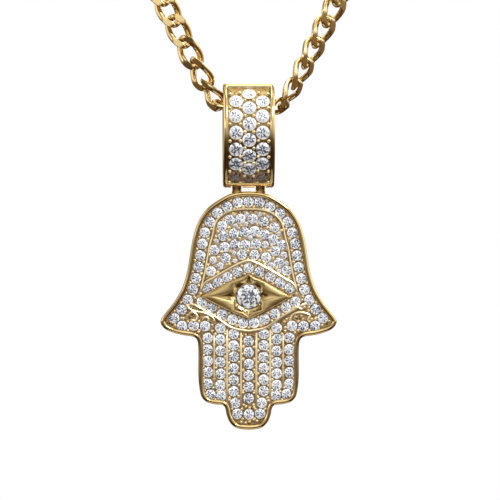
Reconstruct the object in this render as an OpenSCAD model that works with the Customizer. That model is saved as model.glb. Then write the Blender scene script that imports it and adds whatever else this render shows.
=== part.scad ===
// Hamsa pendant with a stone-set eye on a ring bail, worn on a curb chain.
// Millimetres. Origin: middle of the clasp at the nape. X to the viewer's
// right, Y to the back, Z up. The pendant faces -Y.

/* [Chain] */
// Whole length of the chain with its clasp
chain_length = 457; // [400:1:600]
// Distance from one link to the next
link_pitch = 3.3; // [3:0.1:5]
// Width of a link over its wire
link_width = 3.4; // [3:0.05:4]
// Wire width seen from the flat side
link_wire_width = 0.72; // [0.5:0.02:0.9]
// Wire height across the flat side
link_wire_height = 0.56; // [0.4:0.02:0.7]
// How far each strand is twisted out of the flat
link_twist = -0.6; // [-0.8:0.05:-0.5]
// Free play between the wires of two linked ends
link_play = 0.34; // [0.3:0.02:0.6]
// Radius of the turn that the chain takes inside the bail
corner_radius = 6.4; // [5.5:0.1:8]
// Roll that each link up the left leg loses, from edge-on in the bail to flat
left_roll_step = 21; // [16:1:24]
// Share of its roll that each link up the right leg keeps
right_roll_kept = 0.82; // [0.76:0.02:0.9]

/* [Worn position] */
// Angle of each chain leg from the vertical
leg_angle = 26.7; // [20:0.1:35]
// How far the loop leans back at the nape
nape_lean = 55; // [20:1:65]

/* [Clasp] */
// Radius of the spring ring to the middle of its wire
clasp_radius = 3.2; // [2.5:0.1:5]
// Wire diameter of the spring ring
clasp_wire = 0.8; // [0.8:0.1:1.2]
// Gap between the spring ring and the end links
clasp_gap = 0.45; // [0.3:0.05:0.6]

/* [Bail] */
// Width of the bail along the chain
bail_width = 7.2; // [6.5:0.1:9]
// Height of the bail
bail_height = 14.4; // [13:0.1:17]
// Depth of the bail from front to back
bail_depth = 10.4; // [9:0.1:13]
// Wall of the bail at its rims
bail_wall = 1.2; // [1.1:0.05:1.6]
// Width of the plain rim at each side of the stones
bail_side_rim = 0.6; // [0.5:0.05:1]
// Height of the plain rim above and below the stones
bail_end_rim = 0.55; // [0.4:0.05:0.9]
// Depth of the stone field below the rims
bail_recess = 0.3; // [0.2:0.05:0.4]
// Diameter of the bail's stones
bail_stone = 1.8; // [1.4:0.05:1.8]
// Sideways distance between the columns of stones
bail_column = 1.86; // [1.8:0.02:2]
// Free height between the chain's lowest point and the bail's roof
bail_headroom = 3.5; // [3.3:0.05:4.4]
// How far the bail sits to the left of the chain's lowest point
bail_shift = 0.25; // [0:0.05:0.4]

/* [Pin and lugs] */
// Diameter of the pin that the pendant swings on
pin_diameter = 0.8; // [0.6:0.05:1]
// Height of the pin's middle above the bail's inner floor
pin_rise = 0.1; // [0:0.05:0.3]
// Gap all round the pin inside a lug
pin_gap = 0.15; // [0.1:0.05:0.25]
// Wall of a lug around the pin
lug_wall = 0.55; // [0.4:0.05:0.8]
// Width of a lug along the pin
lug_width = 1.3; // [1:0.05:1.6]
// Distance between the middles of the two lugs
lug_spacing = 3.3; // [2.8:0.1:3.6]
// Thickness of a lug's neck from front to back
lug_neck = 1.0; // [0.8:0.05:1.2]
// Gap between a lug and the sides of its slot
slot_gap = 0.15; // [0.1:0.05:0.25]
// Length of a slot from front to back
slot_length = 2.9; // [2.7:0.1:3.2]
// Space between the bail's foot and the top of the hamsa
hang_gap = 0.7; // [0.6:0.05:1.2]

/* [Hamsa] */
// Width over the two thumbs
hamsa_width = 24.6; // [22:0.1:32]
// Height from the wrist arch to the middle fingertip
hamsa_height = 33.3; // [30:0.1:44]
// Thickness at the rim
hamsa_thickness = 2.6; // [2.2:0.1:3.2]
// Width of the polished rim
rim_width = 0.65; // [0.5:0.05:0.9]
// Depth of the stone field below the rim
field_depth = 0.6; // [0.4:0.05:0.8]
// Width of the dividing ridges
ridge_width = 0.3; // [0.2:0.02:0.34]
// Height of the dividing ridges above the field
ridge_height = 0.42; // [0.2:0.02:0.5]
// Diameter of the small stones
small_stone = 1.35; // [1.1:0.05:1.4]
// Height of the eye plate above the field
eye_plate_height = 0.75; // [0.5:0.05:0.9]
// Diameter of the eye's round stone
eye_stone_size = 3.2; // [2.6:0.1:3.4]
// Depth of the star cut into the eye plate
star_depth = 0.35; // [0.2:0.05:0.4]
// How much further the eye reaches to the left than to the right, as a share of its half width
eye_skew = 0.06; // [0:0.01:0.1]

/* [Stones] */
// Gap between a stone and its seat
seat_gap = 0.08; // [0.05:0.01:0.12]
// Table width as a share of the stone
table_share = 0.56; // [0.5:0.02:0.62]
// Crown height as a share of the stone
crown_share = 0.15; // [0.12:0.01:0.18]
// Depth below the girdle as a share of the stone
pavilion_share = 0.28; // [0.24:0.01:0.32]
// Thickness of the girdle
girdle = 0.1; // [0.08:0.01:0.15]

/* [Hidden] */
gold = [0.86, 0.66, 0.28];
crystal = [0.93, 0.95, 1.0];
eps = 0.01;
degree = PI / 180;

// The link
link_sides = 10;
wire_sides = 5;
link_half = (link_pitch + link_play + link_wire_width) / 2;
link_half_width = (link_width - link_wire_width) / 2;

function unit(v) = v / norm(v);
function link_centre(t) = [link_half * cos(t), link_half_width * sin(t), link_twist * sin(2 * t)];
function link_along(t) = unit([-link_half * sin(t), link_half_width * cos(t), 2 * link_twist * cos(2 * t)]);
function link_out(t) = let (d = link_along(t)) unit([d.y, -d.x, 0]);
function link_up(t) = cross(link_out(t), link_along(t));
function link_point(t, g) = link_centre(t)
    + link_out(t) * cos(g) * link_wire_width / 2
    + link_up(t) * sin(g) * link_wire_height / 2;
link_points = [for (i = [0:link_sides - 1], j = [0:wire_sides - 1])
    link_point(i * 360 / link_sides, j * 360 / wire_sides)];
function at(i, j) = (i % link_sides) * wire_sides + (j % wire_sides);
link_faces = [for (i = [0:link_sides - 1], j = [0:wire_sides - 1])
    [at(i, j), at(i + 1, j), at(i + 1, j + 1), at(i, j + 1)]];

module link() {
    polyhedron(points = link_points, faces = link_faces);
}

// The way of the chain: a turn inside the bail, two straight legs, an arc round the neck
leg_slope = 90 - leg_angle;
corner_turn = 2 * asin(link_pitch / corner_radius / 2);
corner_joints = floor(leg_slope / corner_turn + 0.5);
leg_start = corner_radius * [sin(leg_slope), 1 - cos(leg_slope)];
leg_way = [sin(leg_angle), cos(leg_angle)];
// From the last joint on the turn, the next one is a pitch away on the leg
corner_end = leg_start - corner_at((corner_joints - 0.5) * corner_turn);
first_leg = sqrt(pow(corner_end * leg_way, 2) + link_pitch * link_pitch - corner_end * corner_end)
    - corner_end * leg_way;
clasp_reach = link_half + clasp_radius - (link_wire_width + clasp_wire) / 2 - clasp_gap;
links_a_side = round((chain_length / 2 - clasp_reach) / link_pitch);
rest_length = first_leg + (links_a_side - corner_joints - 0.5) * link_pitch + clasp_reach;
neck_radius = (rest_length + corner_radius / tan(leg_angle))
    / (1 / tan(leg_angle) + PI / 2 + leg_angle * degree);
leg_length = (neck_radius - corner_radius) / tan(leg_angle);
neck_centre = leg_start.y + leg_length * cos(leg_angle) + neck_radius * sin(leg_angle);
loop_height = neck_centre + neck_radius;
lean_radius = loop_height / (nape_lean * degree);
lowest = -bent([0, loop_height]);

function corner_at(a) = corner_radius * [sin(a), 1 - cos(a)];
// Joint n up a leg on the loop laid flat, from its lowest point
function flat_joint(n) = n <= corner_joints ? corner_at((n - 0.5) * corner_turn)
    : let (s = first_leg + (n - corner_joints - 1) * link_pitch) s <= leg_length
    ? leg_start + s * leg_way
    : let (a = (s - leg_length) / neck_radius / degree - leg_angle)
      [neck_radius * cos(a), neck_centre + neck_radius * sin(a)];
function lean(u) = u / lean_radius / degree;
// The flat loop bent round the wearer: a place on it, from its lowest point
function bent(p) = [p.x, lean_radius * (1 - cos(lean(p.y))), lean_radius * sin(lean(p.y))];
// Joint k joins links k - 1 and k, and link 0 is the lowest
function joint(k) = let (p = flat_joint(k > 0 ? k : 1 - k)) lowest + bent([k > 0 ? p.x : -p.x, p.y]);
function link_roll(k) = k < 0 ? min(0, -90 - left_roll_step * (k + 0.5)) : -90 * pow(right_roll_kept, k);
function outward(p) = let (a = asin((p.z - lowest.z) / lean_radius)) [0, -cos(a), sin(a)];

module place_link(k) {
    start = joint(k);
    end = joint(k + 1);
    along = unit(end - start);
    middle = (start + end) / 2;
    side = unit(cross(outward(middle), along));
    front = cross(along, side);
    normal = front * cos(link_roll(k)) + side * sin(link_roll(k));
    across = cross(normal, along);
    multmatrix([[along.x, across.x, normal.x, middle.x],
                [along.y, across.y, normal.y, middle.y],
                [along.z, across.z, normal.z, middle.z],
                [0, 0, 0, 1]])
        link();
}

module chain_left() {
    color(gold) for (k = [-links_a_side:0]) place_link(k);
}

module chain_right() {
    color(gold) for (k = [1:links_a_side]) place_link(k);
}

// Spring ring, closed, with its thumb stub on top
module clasp() {
    color(gold) rotate([-nape_lean, 0, 0]) {
        rotate_extrude($fn = 32) translate([clasp_radius, 0]) circle(d = clasp_wire, $fn = 24);
        translate([0, clasp_radius, 0]) rotate([-90, 0, 0]) cylinder(h = clasp_wire * 0.9, d = clasp_wire * 0.6, $fn = 20);
    }
}

// Stones
function crown(size) = crown_share * size;
function pavilion(size) = pavilion_share * size;

// Round stone with a table, eight crown and eight pavilion facets,
// its girdle around the origin and its table towards +Z
module stone(diameter) {
    size = diameter * cos(22.5);
    intersection_for (turn = [0:45:135])
        rotate([0, 0, turn]) rotate([90, 0, 0]) linear_extrude(height = 2 * size, center = true)
            polygon([[-table_share * size / 2, crown(size) + girdle / 2], [-size / 2, girdle / 2],
                     [-size / 2, -girdle / 2], [-size * 0.2, -pavilion(size) - girdle / 2],
                     [size * 0.2, -pavilion(size) - girdle / 2], [size / 2, -girdle / 2],
                     [size / 2, girdle / 2], [table_share * size / 2, crown(size) + girdle / 2]]);
}

// Blind hole for a stone whose girdle rests at the origin
module seat(size) {
    depth = pavilion(size) + girdle / 2 + seat_gap;
    translate([0, 0, -depth]) cylinder(h = depth + size, d = size + 2 * seat_gap, $fn = 32);
}

// The bail
bail_centre = lowest + [-bail_shift, 0, bail_headroom - bail_height / 2 + bail_wall];
bail_floor = -bail_height / 2 + bail_wall;
pin_height = bail_floor + pin_rise;
lug_radius = pin_diameter / 2 + pin_gap + lug_wall;

// Heights of the stones on the bail, as shares of its half height
middle_rows = [0.80, 0.545, 0.215, -0.115, -0.40, -0.64, -0.855];
side_rows = [0.68, 0.385, 0.05, -0.275, -0.555, -0.80];

module oval(depth, height) {
    polygon([for (t = [0:5:355]) [depth / 2 * cos(t), height / 2 * sin(t)]]);
}

module oval_bar(inset, width) {
    rotate([90, 0, 90]) linear_extrude(height = width, center = true)
        oval(bail_depth - 2 * inset, bail_height - 2 * inset);
}

// Puts its children on the bail's stone field, at x and a share of the half height
module on_bail(x, share) {
    deep = bail_depth / 2 - bail_recess;
    tall = bail_height / 2 - bail_recess;
    z = share * tall;
    y = -deep * sqrt(1 - share * share);
    tilt = atan2(z / (tall * tall), -y / (deep * deep));
    translate([x, y, z]) rotate([90 - tilt, 0, 0]) children();
}

module each_bail_stone() {
    for (share = middle_rows) on_bail(0, share) children();
    for (share = side_rows, side = [-1, 1]) on_bail(side * bail_column, share) children();
}

module bail_frame() {
    color(gold) translate(bail_centre) {
        difference() {
            oval_bar(0, bail_width);
            oval_bar(bail_wall, 2 * bail_width);
            difference() {
                translate([0, -bail_depth / 2, 0])
                    cube([bail_width - 2 * bail_side_rim, bail_depth, bail_height - 2 * bail_end_rim], center = true);
                oval_bar(bail_recess, bail_width);
            }
            each_bail_stone() seat(bail_stone);
            for (side = [-1, 1])
                translate([side * lug_spacing / 2, 0, -bail_height / 2])
                    cube([lug_width + 2 * slot_gap, slot_length, 3 * bail_wall], center = true);
        }
        translate([0, 0, pin_height]) rotate([0, 90, 0])
            cylinder(h = bail_width - 2 * bail_side_rim, d = pin_diameter, center = true, $fn = 24);
    }
}

module bail_stones() {
    color(crystal) translate(bail_centre) each_bail_stone() stone(bail_stone);
}

// The hamsa. The charts below hold places on a drawing 176 wide and 238 high:
// [distance from the middle line, distance below the top]
chart_width = 176;
chart_height = 238;
half_outline = [
    [0, 0], [10, 0.6], [20, 3], [31, 9], [41, 16.5], [47.5, 25], [51.7, 33], [54.3, 41],
    [56.5, 50], [58.8, 64], [61.5, 80], [66, 95], [70.5, 104], [76, 112.5], [82, 120],
    [87, 126.5], [88, 131], [84.5, 136.5], [77, 140.5], [66, 143.5], [56, 145], [51.5, 148.5],
    [50.2, 158], [50.2, 184], [48.7, 199], [46.5, 206], [41.5, 210.5], [34, 212.6], [26, 213.5],
    [23.2, 217], [22, 223], [18.5, 231], [11.5, 236.5], [0, 238]];
rim_chart = [
    [11, 11], [21.5, 15.2], [31.5, 21.5], [39, 30.5], [43.8, 41], [46.4, 52.5], [48.4, 64],
    [50.2, 75.5], [52.6, 87], [56, 98], [60.8, 108.5], [67, 118], [74.5, 126.8],
    [66.5, 134.5], [55, 134.5], [43.5, 134.5]];
finger_columns = [[0, 149.5, 6], [15, 142.5, 6], [28.2, 136.5, 6], [40.8, 146.5, 5]];
finger_row = 11.4;
finger_ends = [[13, 211.3], [27.2, 204.1], [38.2, 202.8], [0, 223], [11.6, 222.3]];
finger_ridges = [[7.7, 141, 214], [21.6, 138, 211]];
thin_ridges = [[34.5, 143, 196]];
brow_chart = [[0, 76.5], [11, 80.3], [21.5, 85.5], [31.5, 91], [41, 96.5]];
lid_chart = [[5, 131.5], [16, 128], [26.5, 122.5], [37, 116], [46.5, 110.5]];
// The palm's stones lie unevenly, so both sides are charted
palm_chart = [
    [-26.5, 34.5], [-17.5, 28.3], [-6.5, 26.3], [4.5, 26.6], [15.5, 30], [25, 36],
    [-30, 46], [-19, 41], [-7, 38], [4.5, 38.3], [15.5, 42], [26, 47.5],
    [-35, 57.5], [-24, 53], [-12.5, 50], [-0.5, 49.8], [11, 52], [21.5, 57.5], [33, 57.5],
    [-31, 68], [-18.5, 64.5], [-6.5, 61.3], [5, 61.3], [16, 65.3], [28, 69],
    [-38.5, 78.5], [38.5, 79]];
arch_line = [[49.2, 101], [45.3, 88], [42, 71.5], [39.3, 56], [36.5, 46], [33, 31.5], [25.5, 23.5],
             [16.5, 19], [8, 17.6], [0, 17.3]];
brow_line = [[49.2, 102], [44, 92], [34, 86], [24, 80], [12, 73.5], [4, 70], [0, 69.3]];
lid_line = [[57.5, 111.5], [46, 118], [33, 125.5], [20, 134.5], [12, 137.5], [0, 139.5]];
eye_level = 105;
eye_corner = [[0, 22], [12, 17.2], [24, 11.4], [36, 5.4], [45, 0]];
star_corner = [[0, 19.6], [6.2, 16.8], [13.6, 13.4], [14, 9], [14.4, 4.4], [22, 2.2], [32, 0]];

function chart(p) = [p.x * hamsa_width / chart_width, -p.y * hamsa_height / chart_height];
function flip(p) = [-p.x, p.y];
function backwards(list) = [for (i = [len(list) - 1:-1:0]) list[i]];
function spline_at(a, b, c, d, t) =
    (2 * b + (c - a) * t + (2 * a - 5 * b + 4 * c - d) * t * t + (3 * b - a - 3 * c + d) * t * t * t) / 2;
function closed_curve(p, steps) = let (n = len(p)) [for (i = [0:n - 1], k = [0:steps - 1])
    spline_at(p[(i + n - 1) % n], p[i], p[(i + 1) % n], p[(i + 2) % n], k / steps)];
function mirrored(half) = [for (p = half) chart(p),
    for (p = backwards(half)) if (p.x > 0) flip(chart(p))];
function inset(p, distance) = let (n = len(p)) [for (i = [0:n - 1])
    let (d = unit(p[(i + 1) % n] - p[(i + n - 1) % n])) p[i] + distance * [d.y, -d.x]];
function strip(p, width) = let (n = len(p), side = [for (i = [0:n - 1])
    let (d = unit(p[min(i + 1, n - 1)] - p[max(i - 1, 0)])) width / 2 * [d.y, -d.x]])
    concat([for (i = [0:n - 1]) p[i] + side[i]], [for (i = [n - 1:-1:0]) p[i] - side[i]]);
outline = closed_curve(mirrored(half_outline), 3);

eye_stone_rise = eye_plate_height - star_depth;
front = -hamsa_thickness / 2;
back = hamsa_thickness / 2;
field = front + field_depth;
hamsa_top = bail_centre - [0, 0, bail_height / 2 + hang_gap];

// Plate standing in XZ between two depths
module plate(points, from, to) {
    translate([0, to, 0]) rotate([90, 0, 0]) linear_extrude(height = to - from) polygon(points);
}

module ridge(half, height) {
    whole = concat([for (p = half) chart(p)], [for (p = backwards(half)) if (p.x > 0) flip(chart(p))]);
    plate(strip(whole, ridge_width), field - height, field + 0.2);
}

module on_hamsa(p) {
    q = chart(p);
    translate([q.x, field, q.y]) rotate([90, 0, 0]) children();
}

module on_eye() {
    on_hamsa([0, eye_level]) translate([0, 0, eye_stone_rise]) children();
}

module both_sides(list) {
    for (p = list) {
        on_hamsa(p) children();
        if (p.x > 0) on_hamsa(flip(p)) children();
    }
}

finger_chart = concat(
    [for (c = finger_columns, i = [0:c[2] - 1]) [c[0], c[1] + i * finger_row]],
    finger_ends);
full_rim_chart = concat([[0, 10.5]], rim_chart);

// Diamond shape around the eye's level, from the chart of one corner
function diamond(corner) = let (
    upper = [for (p = corner) chart([p.x, eye_level - p.y])],
    lower = [for (p = backwards(corner)) if (p.y > 0) chart([p.x, eye_level + p.y])],
    right = concat(upper, lower))
    concat([for (p = right) [p.x * (1 - eye_skew), p.y]],
           [for (p = backwards(right)) if (p.x > 0) [-p.x * (1 + eye_skew), p.y]]);

module upright(x, top, foot, width) {
    for (side = [-1, 1]) {
        high = chart([side * x, top]);
        low = chart([side * x, foot]);
        translate([high.x - width / 2, field - ridge_height, low.y])
            cube([width, ridge_height + 0.2, high.y - low.y]);
    }
}

module lug(x) {
    rise = pin_height + bail_height / 2 + hang_gap;
    translate([x, 0, 0]) {
        difference() {
            union() {
                translate([0, 0, rise]) rotate([0, 90, 0])
                    cylinder(h = lug_width, r = lug_radius, center = true, $fn = 32);
                translate([-lug_width / 2, -lug_neck / 2, -rim_width])
                    cube([lug_width, lug_neck, rise + rim_width]);
            }
            translate([0, 0, rise]) rotate([0, 90, 0])
                cylinder(h = lug_width + 1, d = pin_diameter + 2 * pin_gap, center = true, $fn = 32);
        }
    }
}

module hamsa_frame() {
    color(gold) translate(hamsa_top) {
        difference() {
            union() {
                difference() {
                    plate(outline, front, back);
                    plate(inset(outline, rim_width), front - 1, field);
                }
                ridge(arch_line, ridge_height);
                ridge(brow_line, ridge_height);
                ridge(lid_line, ridge_height);
                for (r = finger_ridges) upright(r[0], r[1], r[2], ridge_width);
                for (r = thin_ridges) upright(r[0], r[1], r[2], 0.6 * ridge_width);
                plate(diamond(eye_corner), field - eye_plate_height, field + 0.2);
                for (side = [-1, 1]) lug(side * lug_spacing / 2);
            }
            both_sides(full_rim_chart) seat(small_stone);
            both_sides(finger_chart) seat(small_stone);
            both_sides(brow_chart) seat(small_stone);
            both_sides(lid_chart) seat(small_stone);
            for (p = palm_chart) on_hamsa(p) seat(small_stone);
            plate(diamond(star_corner), field - eye_plate_height - 1, field - eye_stone_rise);
            on_eye() seat(eye_stone_size);
        }
    }
}

module eye_stone() {
    color(crystal) translate(hamsa_top)
        on_eye() stone(eye_stone_size);
}

module rim_stones() {
    color(crystal) translate(hamsa_top) both_sides(full_rim_chart) stone(small_stone);
}

module finger_stones() {
    color(crystal) translate(hamsa_top) both_sides(finger_chart) stone(small_stone);
}

chain_left();
chain_right();
clasp();
bail_frame();
bail_stones();
hamsa_frame();
eye_stone();
rim_stones();
finger_stones();
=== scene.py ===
"""Hamsa pendant with set stones, a ring bail and a curb chain, dressed over its CAD frame."""

import math
import random

import bpy
import bmesh
from bpy.props import FloatProperty, FloatVectorProperty, IntProperty, PointerProperty
from mathutils import Matrix, Vector
from mathutils.geometry import tessellate_polygon


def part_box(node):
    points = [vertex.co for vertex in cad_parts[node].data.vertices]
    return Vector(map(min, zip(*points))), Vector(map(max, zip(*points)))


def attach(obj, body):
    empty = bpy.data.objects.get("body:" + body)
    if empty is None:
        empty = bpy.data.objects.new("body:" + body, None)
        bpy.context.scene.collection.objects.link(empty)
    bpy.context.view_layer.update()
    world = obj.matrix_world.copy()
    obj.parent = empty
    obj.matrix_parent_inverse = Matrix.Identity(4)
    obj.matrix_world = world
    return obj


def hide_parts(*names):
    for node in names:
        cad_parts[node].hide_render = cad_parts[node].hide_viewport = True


bl_info = {
    "name": "Hamsa pendant",
    "version": (1, 0, 0),
    "blender": (4, 5, 0),
    "location": "3D View > Sidebar > Pendant",
    "description": "Makes a stone-set hamsa pendant, its bail and its curb chain over the packed CAD frame",
    "category": "Object",
}

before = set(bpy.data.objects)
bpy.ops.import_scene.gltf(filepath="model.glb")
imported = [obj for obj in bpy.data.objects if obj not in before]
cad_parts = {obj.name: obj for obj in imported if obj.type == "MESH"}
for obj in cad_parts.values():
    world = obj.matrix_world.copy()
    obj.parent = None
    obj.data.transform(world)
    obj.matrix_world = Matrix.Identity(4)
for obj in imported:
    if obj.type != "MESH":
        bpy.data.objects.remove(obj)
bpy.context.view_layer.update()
MM = 0.001
# Edges that bend less than this look round, in degrees
ROUND_EDGE, PLATE_ROUND_EDGE, LINK_ROUND_EDGE = 32, 30, 34
# Points that lie closer than this are one point, in metres
WELD = 0.000002


def size(name, default, description, low=0.0):
    """A length in millimetres, kept in metres."""
    return FloatProperty(name=name, description=description, default=default * MM, min=low, unit="LENGTH",
                         precision=5)


def share(name, default, description):
    """A share of a whole."""
    return FloatProperty(name=name, description=description, default=default, min=0.0, max=1.0,
                         subtype="FACTOR")


def grey(value):
    """A grey as a colour."""
    return (value, value, value)


def tint(name, default, description):
    """A colour."""
    return FloatVectorProperty(name=name, description=description, default=default, size=3, min=0.0, max=1.0,
                               subtype="COLOR")


def angle(name, degrees, description):
    return FloatProperty(name=name, description=description, default=math.radians(degrees), unit="ROTATION")


class ChainSettings(bpy.types.PropertyGroup):
    """Sizes of the curb chain and its clasp"""
    length: size("Length", 457, "Whole length of the chain with its clasp")
    pitch: size("Link pitch", 3.3, "Distance from one link to the next")
    width: size("Link width", 3.4, "Width of a link over its wire")
    cad_wire: size("Frame wire", 0.72, "Wire width of the frame's links, which sets their loop")
    wire: size("Wire width", 0.94, "Width of the wire seen from the flat side")
    wire_height: size("Wire height", 0.74, "Height of the wire before its flats are cut")
    flat: size("Cut height", 0.66, "Height of the bright cut flats above a link's middle")
    twist: size("Twist", -0.6, "How far each strand is twisted out of the flat", -1.0)
    play: size("Play", 0.34, "Free play between the wires of two linked ends")
    turn_radius: size("Turn radius", 6.4, "Radius of the turn that the chain takes inside the bail")
    left_step: angle("Left roll step", 21, "Roll that each link up the left leg loses")
    right_kept: share("Right roll kept", 0.82, "Share of its roll that each link up the right leg keeps")
    leg_angle: angle("Leg angle", 26.7, "Angle of each chain leg from the vertical")
    lean: angle("Nape lean", 55, "How far the loop leans back at the nape")
    clasp_radius: size("Clasp radius", 3.2, "Radius of the spring ring to the middle of its wire")
    clasp_wire: size("Clasp wire", 0.8, "Wire diameter of the spring ring")
    clasp_gap: size("Clasp gap", 0.45, "Gap between the spring ring and the end links")


class BailSettings(bpy.types.PropertyGroup):
    """Sizes of the bail"""
    width: size("Width", 6.98, "Width of the bail along the chain")
    height: size("Height", 14.4, "Height of the bail")
    depth: size("Depth", 10.4, "Depth of the bail from front to back")
    reach: size("Reach", 0.17, "How much further the polished band reaches than the frame at top and foot")
    wall: size("Wall", 1.2, "Wall of the bail at its rims")
    side_rim: size("Side rim", 0.6, "Width of the plain rim at each side of the stones")
    end_rim: size("End rim", 0.68, "Height of the plain rim above and below the stones")
    recess: size("Recess", 0.3, "Depth of the stone field below the rims")
    stone: size("Stone", 1.98, "Diameter of the bail's stones")
    column: size("Column", 1.86, "Sideways distance between the columns of stones")
    pin: size("Pin", 0.8, "Diameter of the pin that the pendant swings on")
    pin_rise: size("Pin rise", 0.1, "Height of the pin's middle above the inner floor")
    slot_width: size("Slot width", 1.6, "Width of a slot along the pin")
    slot_length: size("Slot length", 2.9, "Length of a slot from front to back")


class HamsaSettings(bpy.types.PropertyGroup):
    """Sizes of the hamsa"""
    width: size("Width", 24.6, "Width over the two thumbs")
    height: size("Height", 33.3, "Height from the wrist arch to the middle fingertip")
    thickness: size("Thickness", 2.6, "Thickness at the rim")
    rim: size("Rim", 0.70, "Width of the polished rim")
    field: size("Field depth", 0.6, "Depth of the stone field below the rim")
    ridge: size("Ridge width", 0.36, "Width of the dividing ridges")
    ridge_height: size("Ridge height", 0.50, "Height of the dividing ridges above the field")
    stone: size("Small stone", 1.56, "Diameter of the small stones")
    plate: size("Eye plate", 0.75, "Height of the eye plate above the field")
    eye_stone: size("Eye stone", 3.36, "Diameter of the eye's round stone")
    star: size("Star depth", 0.5, "Depth of the star cut into the eye plate")
    skew: share("Eye skew", 0.06, "How much further the eye reaches to the left than to the right")
    lug_width: size("Lug width", 1.22, "Width of a lug along the pin")
    lug_spacing: size("Lug spacing", 3.3, "Distance between the middles of the two lugs")
    lug_wall: size("Lug wall", 0.55, "Wall of a lug around the pin")
    lug_neck: size("Lug neck", 1.0, "Thickness of a lug's neck")
    pin_gap: size("Pin gap", 0.15, "Gap all round the pin inside a lug")
    hang_gap: size("Hang gap", 0.7, "Space between the bail's foot and the top of the hamsa")
    grain: size("Grain", 0.205, "Radius of the small gold grains that hold the stones")


class StoneSettings(bpy.types.PropertyGroup):
    """Cut and colour of the stones"""
    table: share("Table", 0.54, "Table width as a share of the stone")
    crown: share("Crown", 0.16, "Crown height as a share of the stone")
    pavilion: share("Pavilion", 0.26, "Depth below the girdle as a share of the stone")
    # The facet colours are painted reflections: bright and dark facets, and lit and shaded ones for the stones that
    # face the ground
    bright: tint("Bright facets", (0.90, 0.94, 1.0), "Colour of the facets that flash")
    dark: tint("Dark facets", (0.06, 0.075, 0.12), "Colour of the large stones' facets that see no light")
    slate: tint("Slate facets", (0.075, 0.095, 0.16), "Colour of the small stones' facets that see no light")
    amber: tint("Amber facets", (0.24, 0.14, 0.07), "Colour of the lit facets of the stones that face the ground")
    shaded: tint("Shaded facets", (0.04, 0.022, 0.012), "Colour of the dark facets of the stones that face the ground")
    seed: IntProperty(name="Seed", description="Seed of the stones' turns and tones", default=7, min=0)


class GoldSettings(bpy.types.PropertyGroup):
    """Colours and finish of the gold"""
    light: tint("Gold", (0.84, 0.63, 0.30), "Colour of the polished gold")
    # Deep gold is the random wear on the polished gold, and also part of the painted shadow gold in cuts and recesses
    deep: tint("Deep gold", (0.50, 0.33, 0.12), "Colour of the gold in corners and worn places")
    bead: tint("Bead gold", (1.0, 0.88, 0.62), "Colour of the beads that hold the stones")
    olive: tint("Olive gold", (0.37, 0.25, 0.09), "Colour of the gold between the bail's upper stones")
    brown: tint("Brown gold", (0.52, 0.36, 0.17), "Colour of the gold between the stones of the fingers")
    dull: tint("Field gold", (0.80, 0.61, 0.35), "Colour of the gold round the stones")
    # The pit colour darkens the fields' pits, and is also the painted shade on the rims, at the bail's foot and in the
    # cuts
    pit_and_shade: tint("Pits", (0.15, 0.09, 0.035), "Colour of the pits round the stones")
    satin: tint("Satin gold", (0.48, 0.37, 0.17), "Colour of the brushed petals of the eye")
    polish: share("Polish", 0.12, "Roughness of the polished gold")
    brushed: share("Brushed", 0.38, "Roughness of the brushed gold")


class StageSettings(bpy.types.PropertyGroup):
    """Floor, lights and camera"""
    frame_width: size("View width", 70.0, "Width that the picture takes in at the pendant")
    distance: size("Camera distance", 500.0, "Distance from the camera to the pendant")
    side_step: angle("Camera azimuth", -1.5, "How far the camera stands to the viewer's left")
    drop: size("View drop", 8.19, "Height of the picture's middle below the top of the hamsa")
    shift: size("View shift", 0.21, "Distance from the pendant's middle line to the picture's middle")
    floor: size("Floor drop", 400.0, "Height of the floor below the pendant's lowest point")
    floor_tint: tint("Floor", (0.85, 0.85, 0.84), "Colour of the floor")


# Places on the hamsa are charted on a drawing 176 wide and 238 high:
# distance from the middle line, distance below the top
CHART = (176, 238)
HALF_OUTLINE = [
    (0, 0), (10, 0.6), (20, 3), (31, 9), (41, 16.5), (47.5, 25), (51.7, 33), (54.3, 41),
    (56.5, 50), (58.8, 64), (61.5, 80), (66, 95), (70.5, 104), (76, 112.5), (82, 120),
    (87, 126.5), (88, 131), (84.5, 136.5), (77, 140.5), (66, 143.5), (56, 145), (51.5, 148.5),
    (50.2, 158), (50.2, 184), (48.7, 199), (46.5, 206), (41.5, 210.5), (34, 212.6), (26, 213.5),
    (23.2, 217), (22, 223), (18.5, 231), (11.5, 236.5), (0, 238)]
RIM_CHART = [
    (0, 10.5), (11, 11), (21.5, 15.2), (31.5, 21.5), (39, 30.5), (43.8, 41), (46.4, 52.5), (48.4, 64),
    (50.2, 75.5), (52.6, 87), (56, 98), (60.8, 108.5), (67, 118), (74.5, 126.8),
    (66.5, 134.5), (55, 134.5), (43.5, 134.5)]
FINGER_COLUMNS = [(0, 149.5, 6), (15, 142.5, 6), (28.2, 136.5, 6), (40.8, 146.5, 5)]
FINGER_ROW = 11.4
FINGER_ENDS = [(13, 211.3), (27.2, 204.1), (38.2, 202.8), (0, 223), (11.6, 222.3)]
FINGER_RIDGES = [(7.7, 141, 214), (21.6, 138, 211)]
THIN_RIDGES = [(34.5, 143, 196)]
BROW_CHART = [(0, 76.5), (11, 80.3), (21.5, 85.5), (31.5, 91), (41, 96.5)]
LID_CHART = [(5.4, 131.5), (16, 128), (26.5, 122.5), (37, 116), (46.5, 110.5)]
PALM_CHART = [
    (-26.5, 34.5), (-18.8, 28.5), (-8.3, 27.2), (4.2, 27.2), (15, 30), (25.8, 35.7),
    (-25.5, 44.7), (-14.8, 42), (-4.2, 40.7), (6, 39.5), (15.9, 42.8), (24.6, 48.3),
    (-34.5, 58.8), (-24, 55.5), (-13.7, 53), (-3.3, 53), (7.3, 52.3), (33.6, 53.2), (26.5, 59.9),
    (-23, 66.5), (-7, 63.4), (6, 63.4), (17.6, 66), (30, 71.5),
    (-37.8, 79.6), (38.5, 79.4)]
PALM_ACCENTS = [(16.4, 53.2), (-28.7, 74.4), (35.4, 63.8), (-35.5, 68.6), (22.5, 74.3)]
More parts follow.
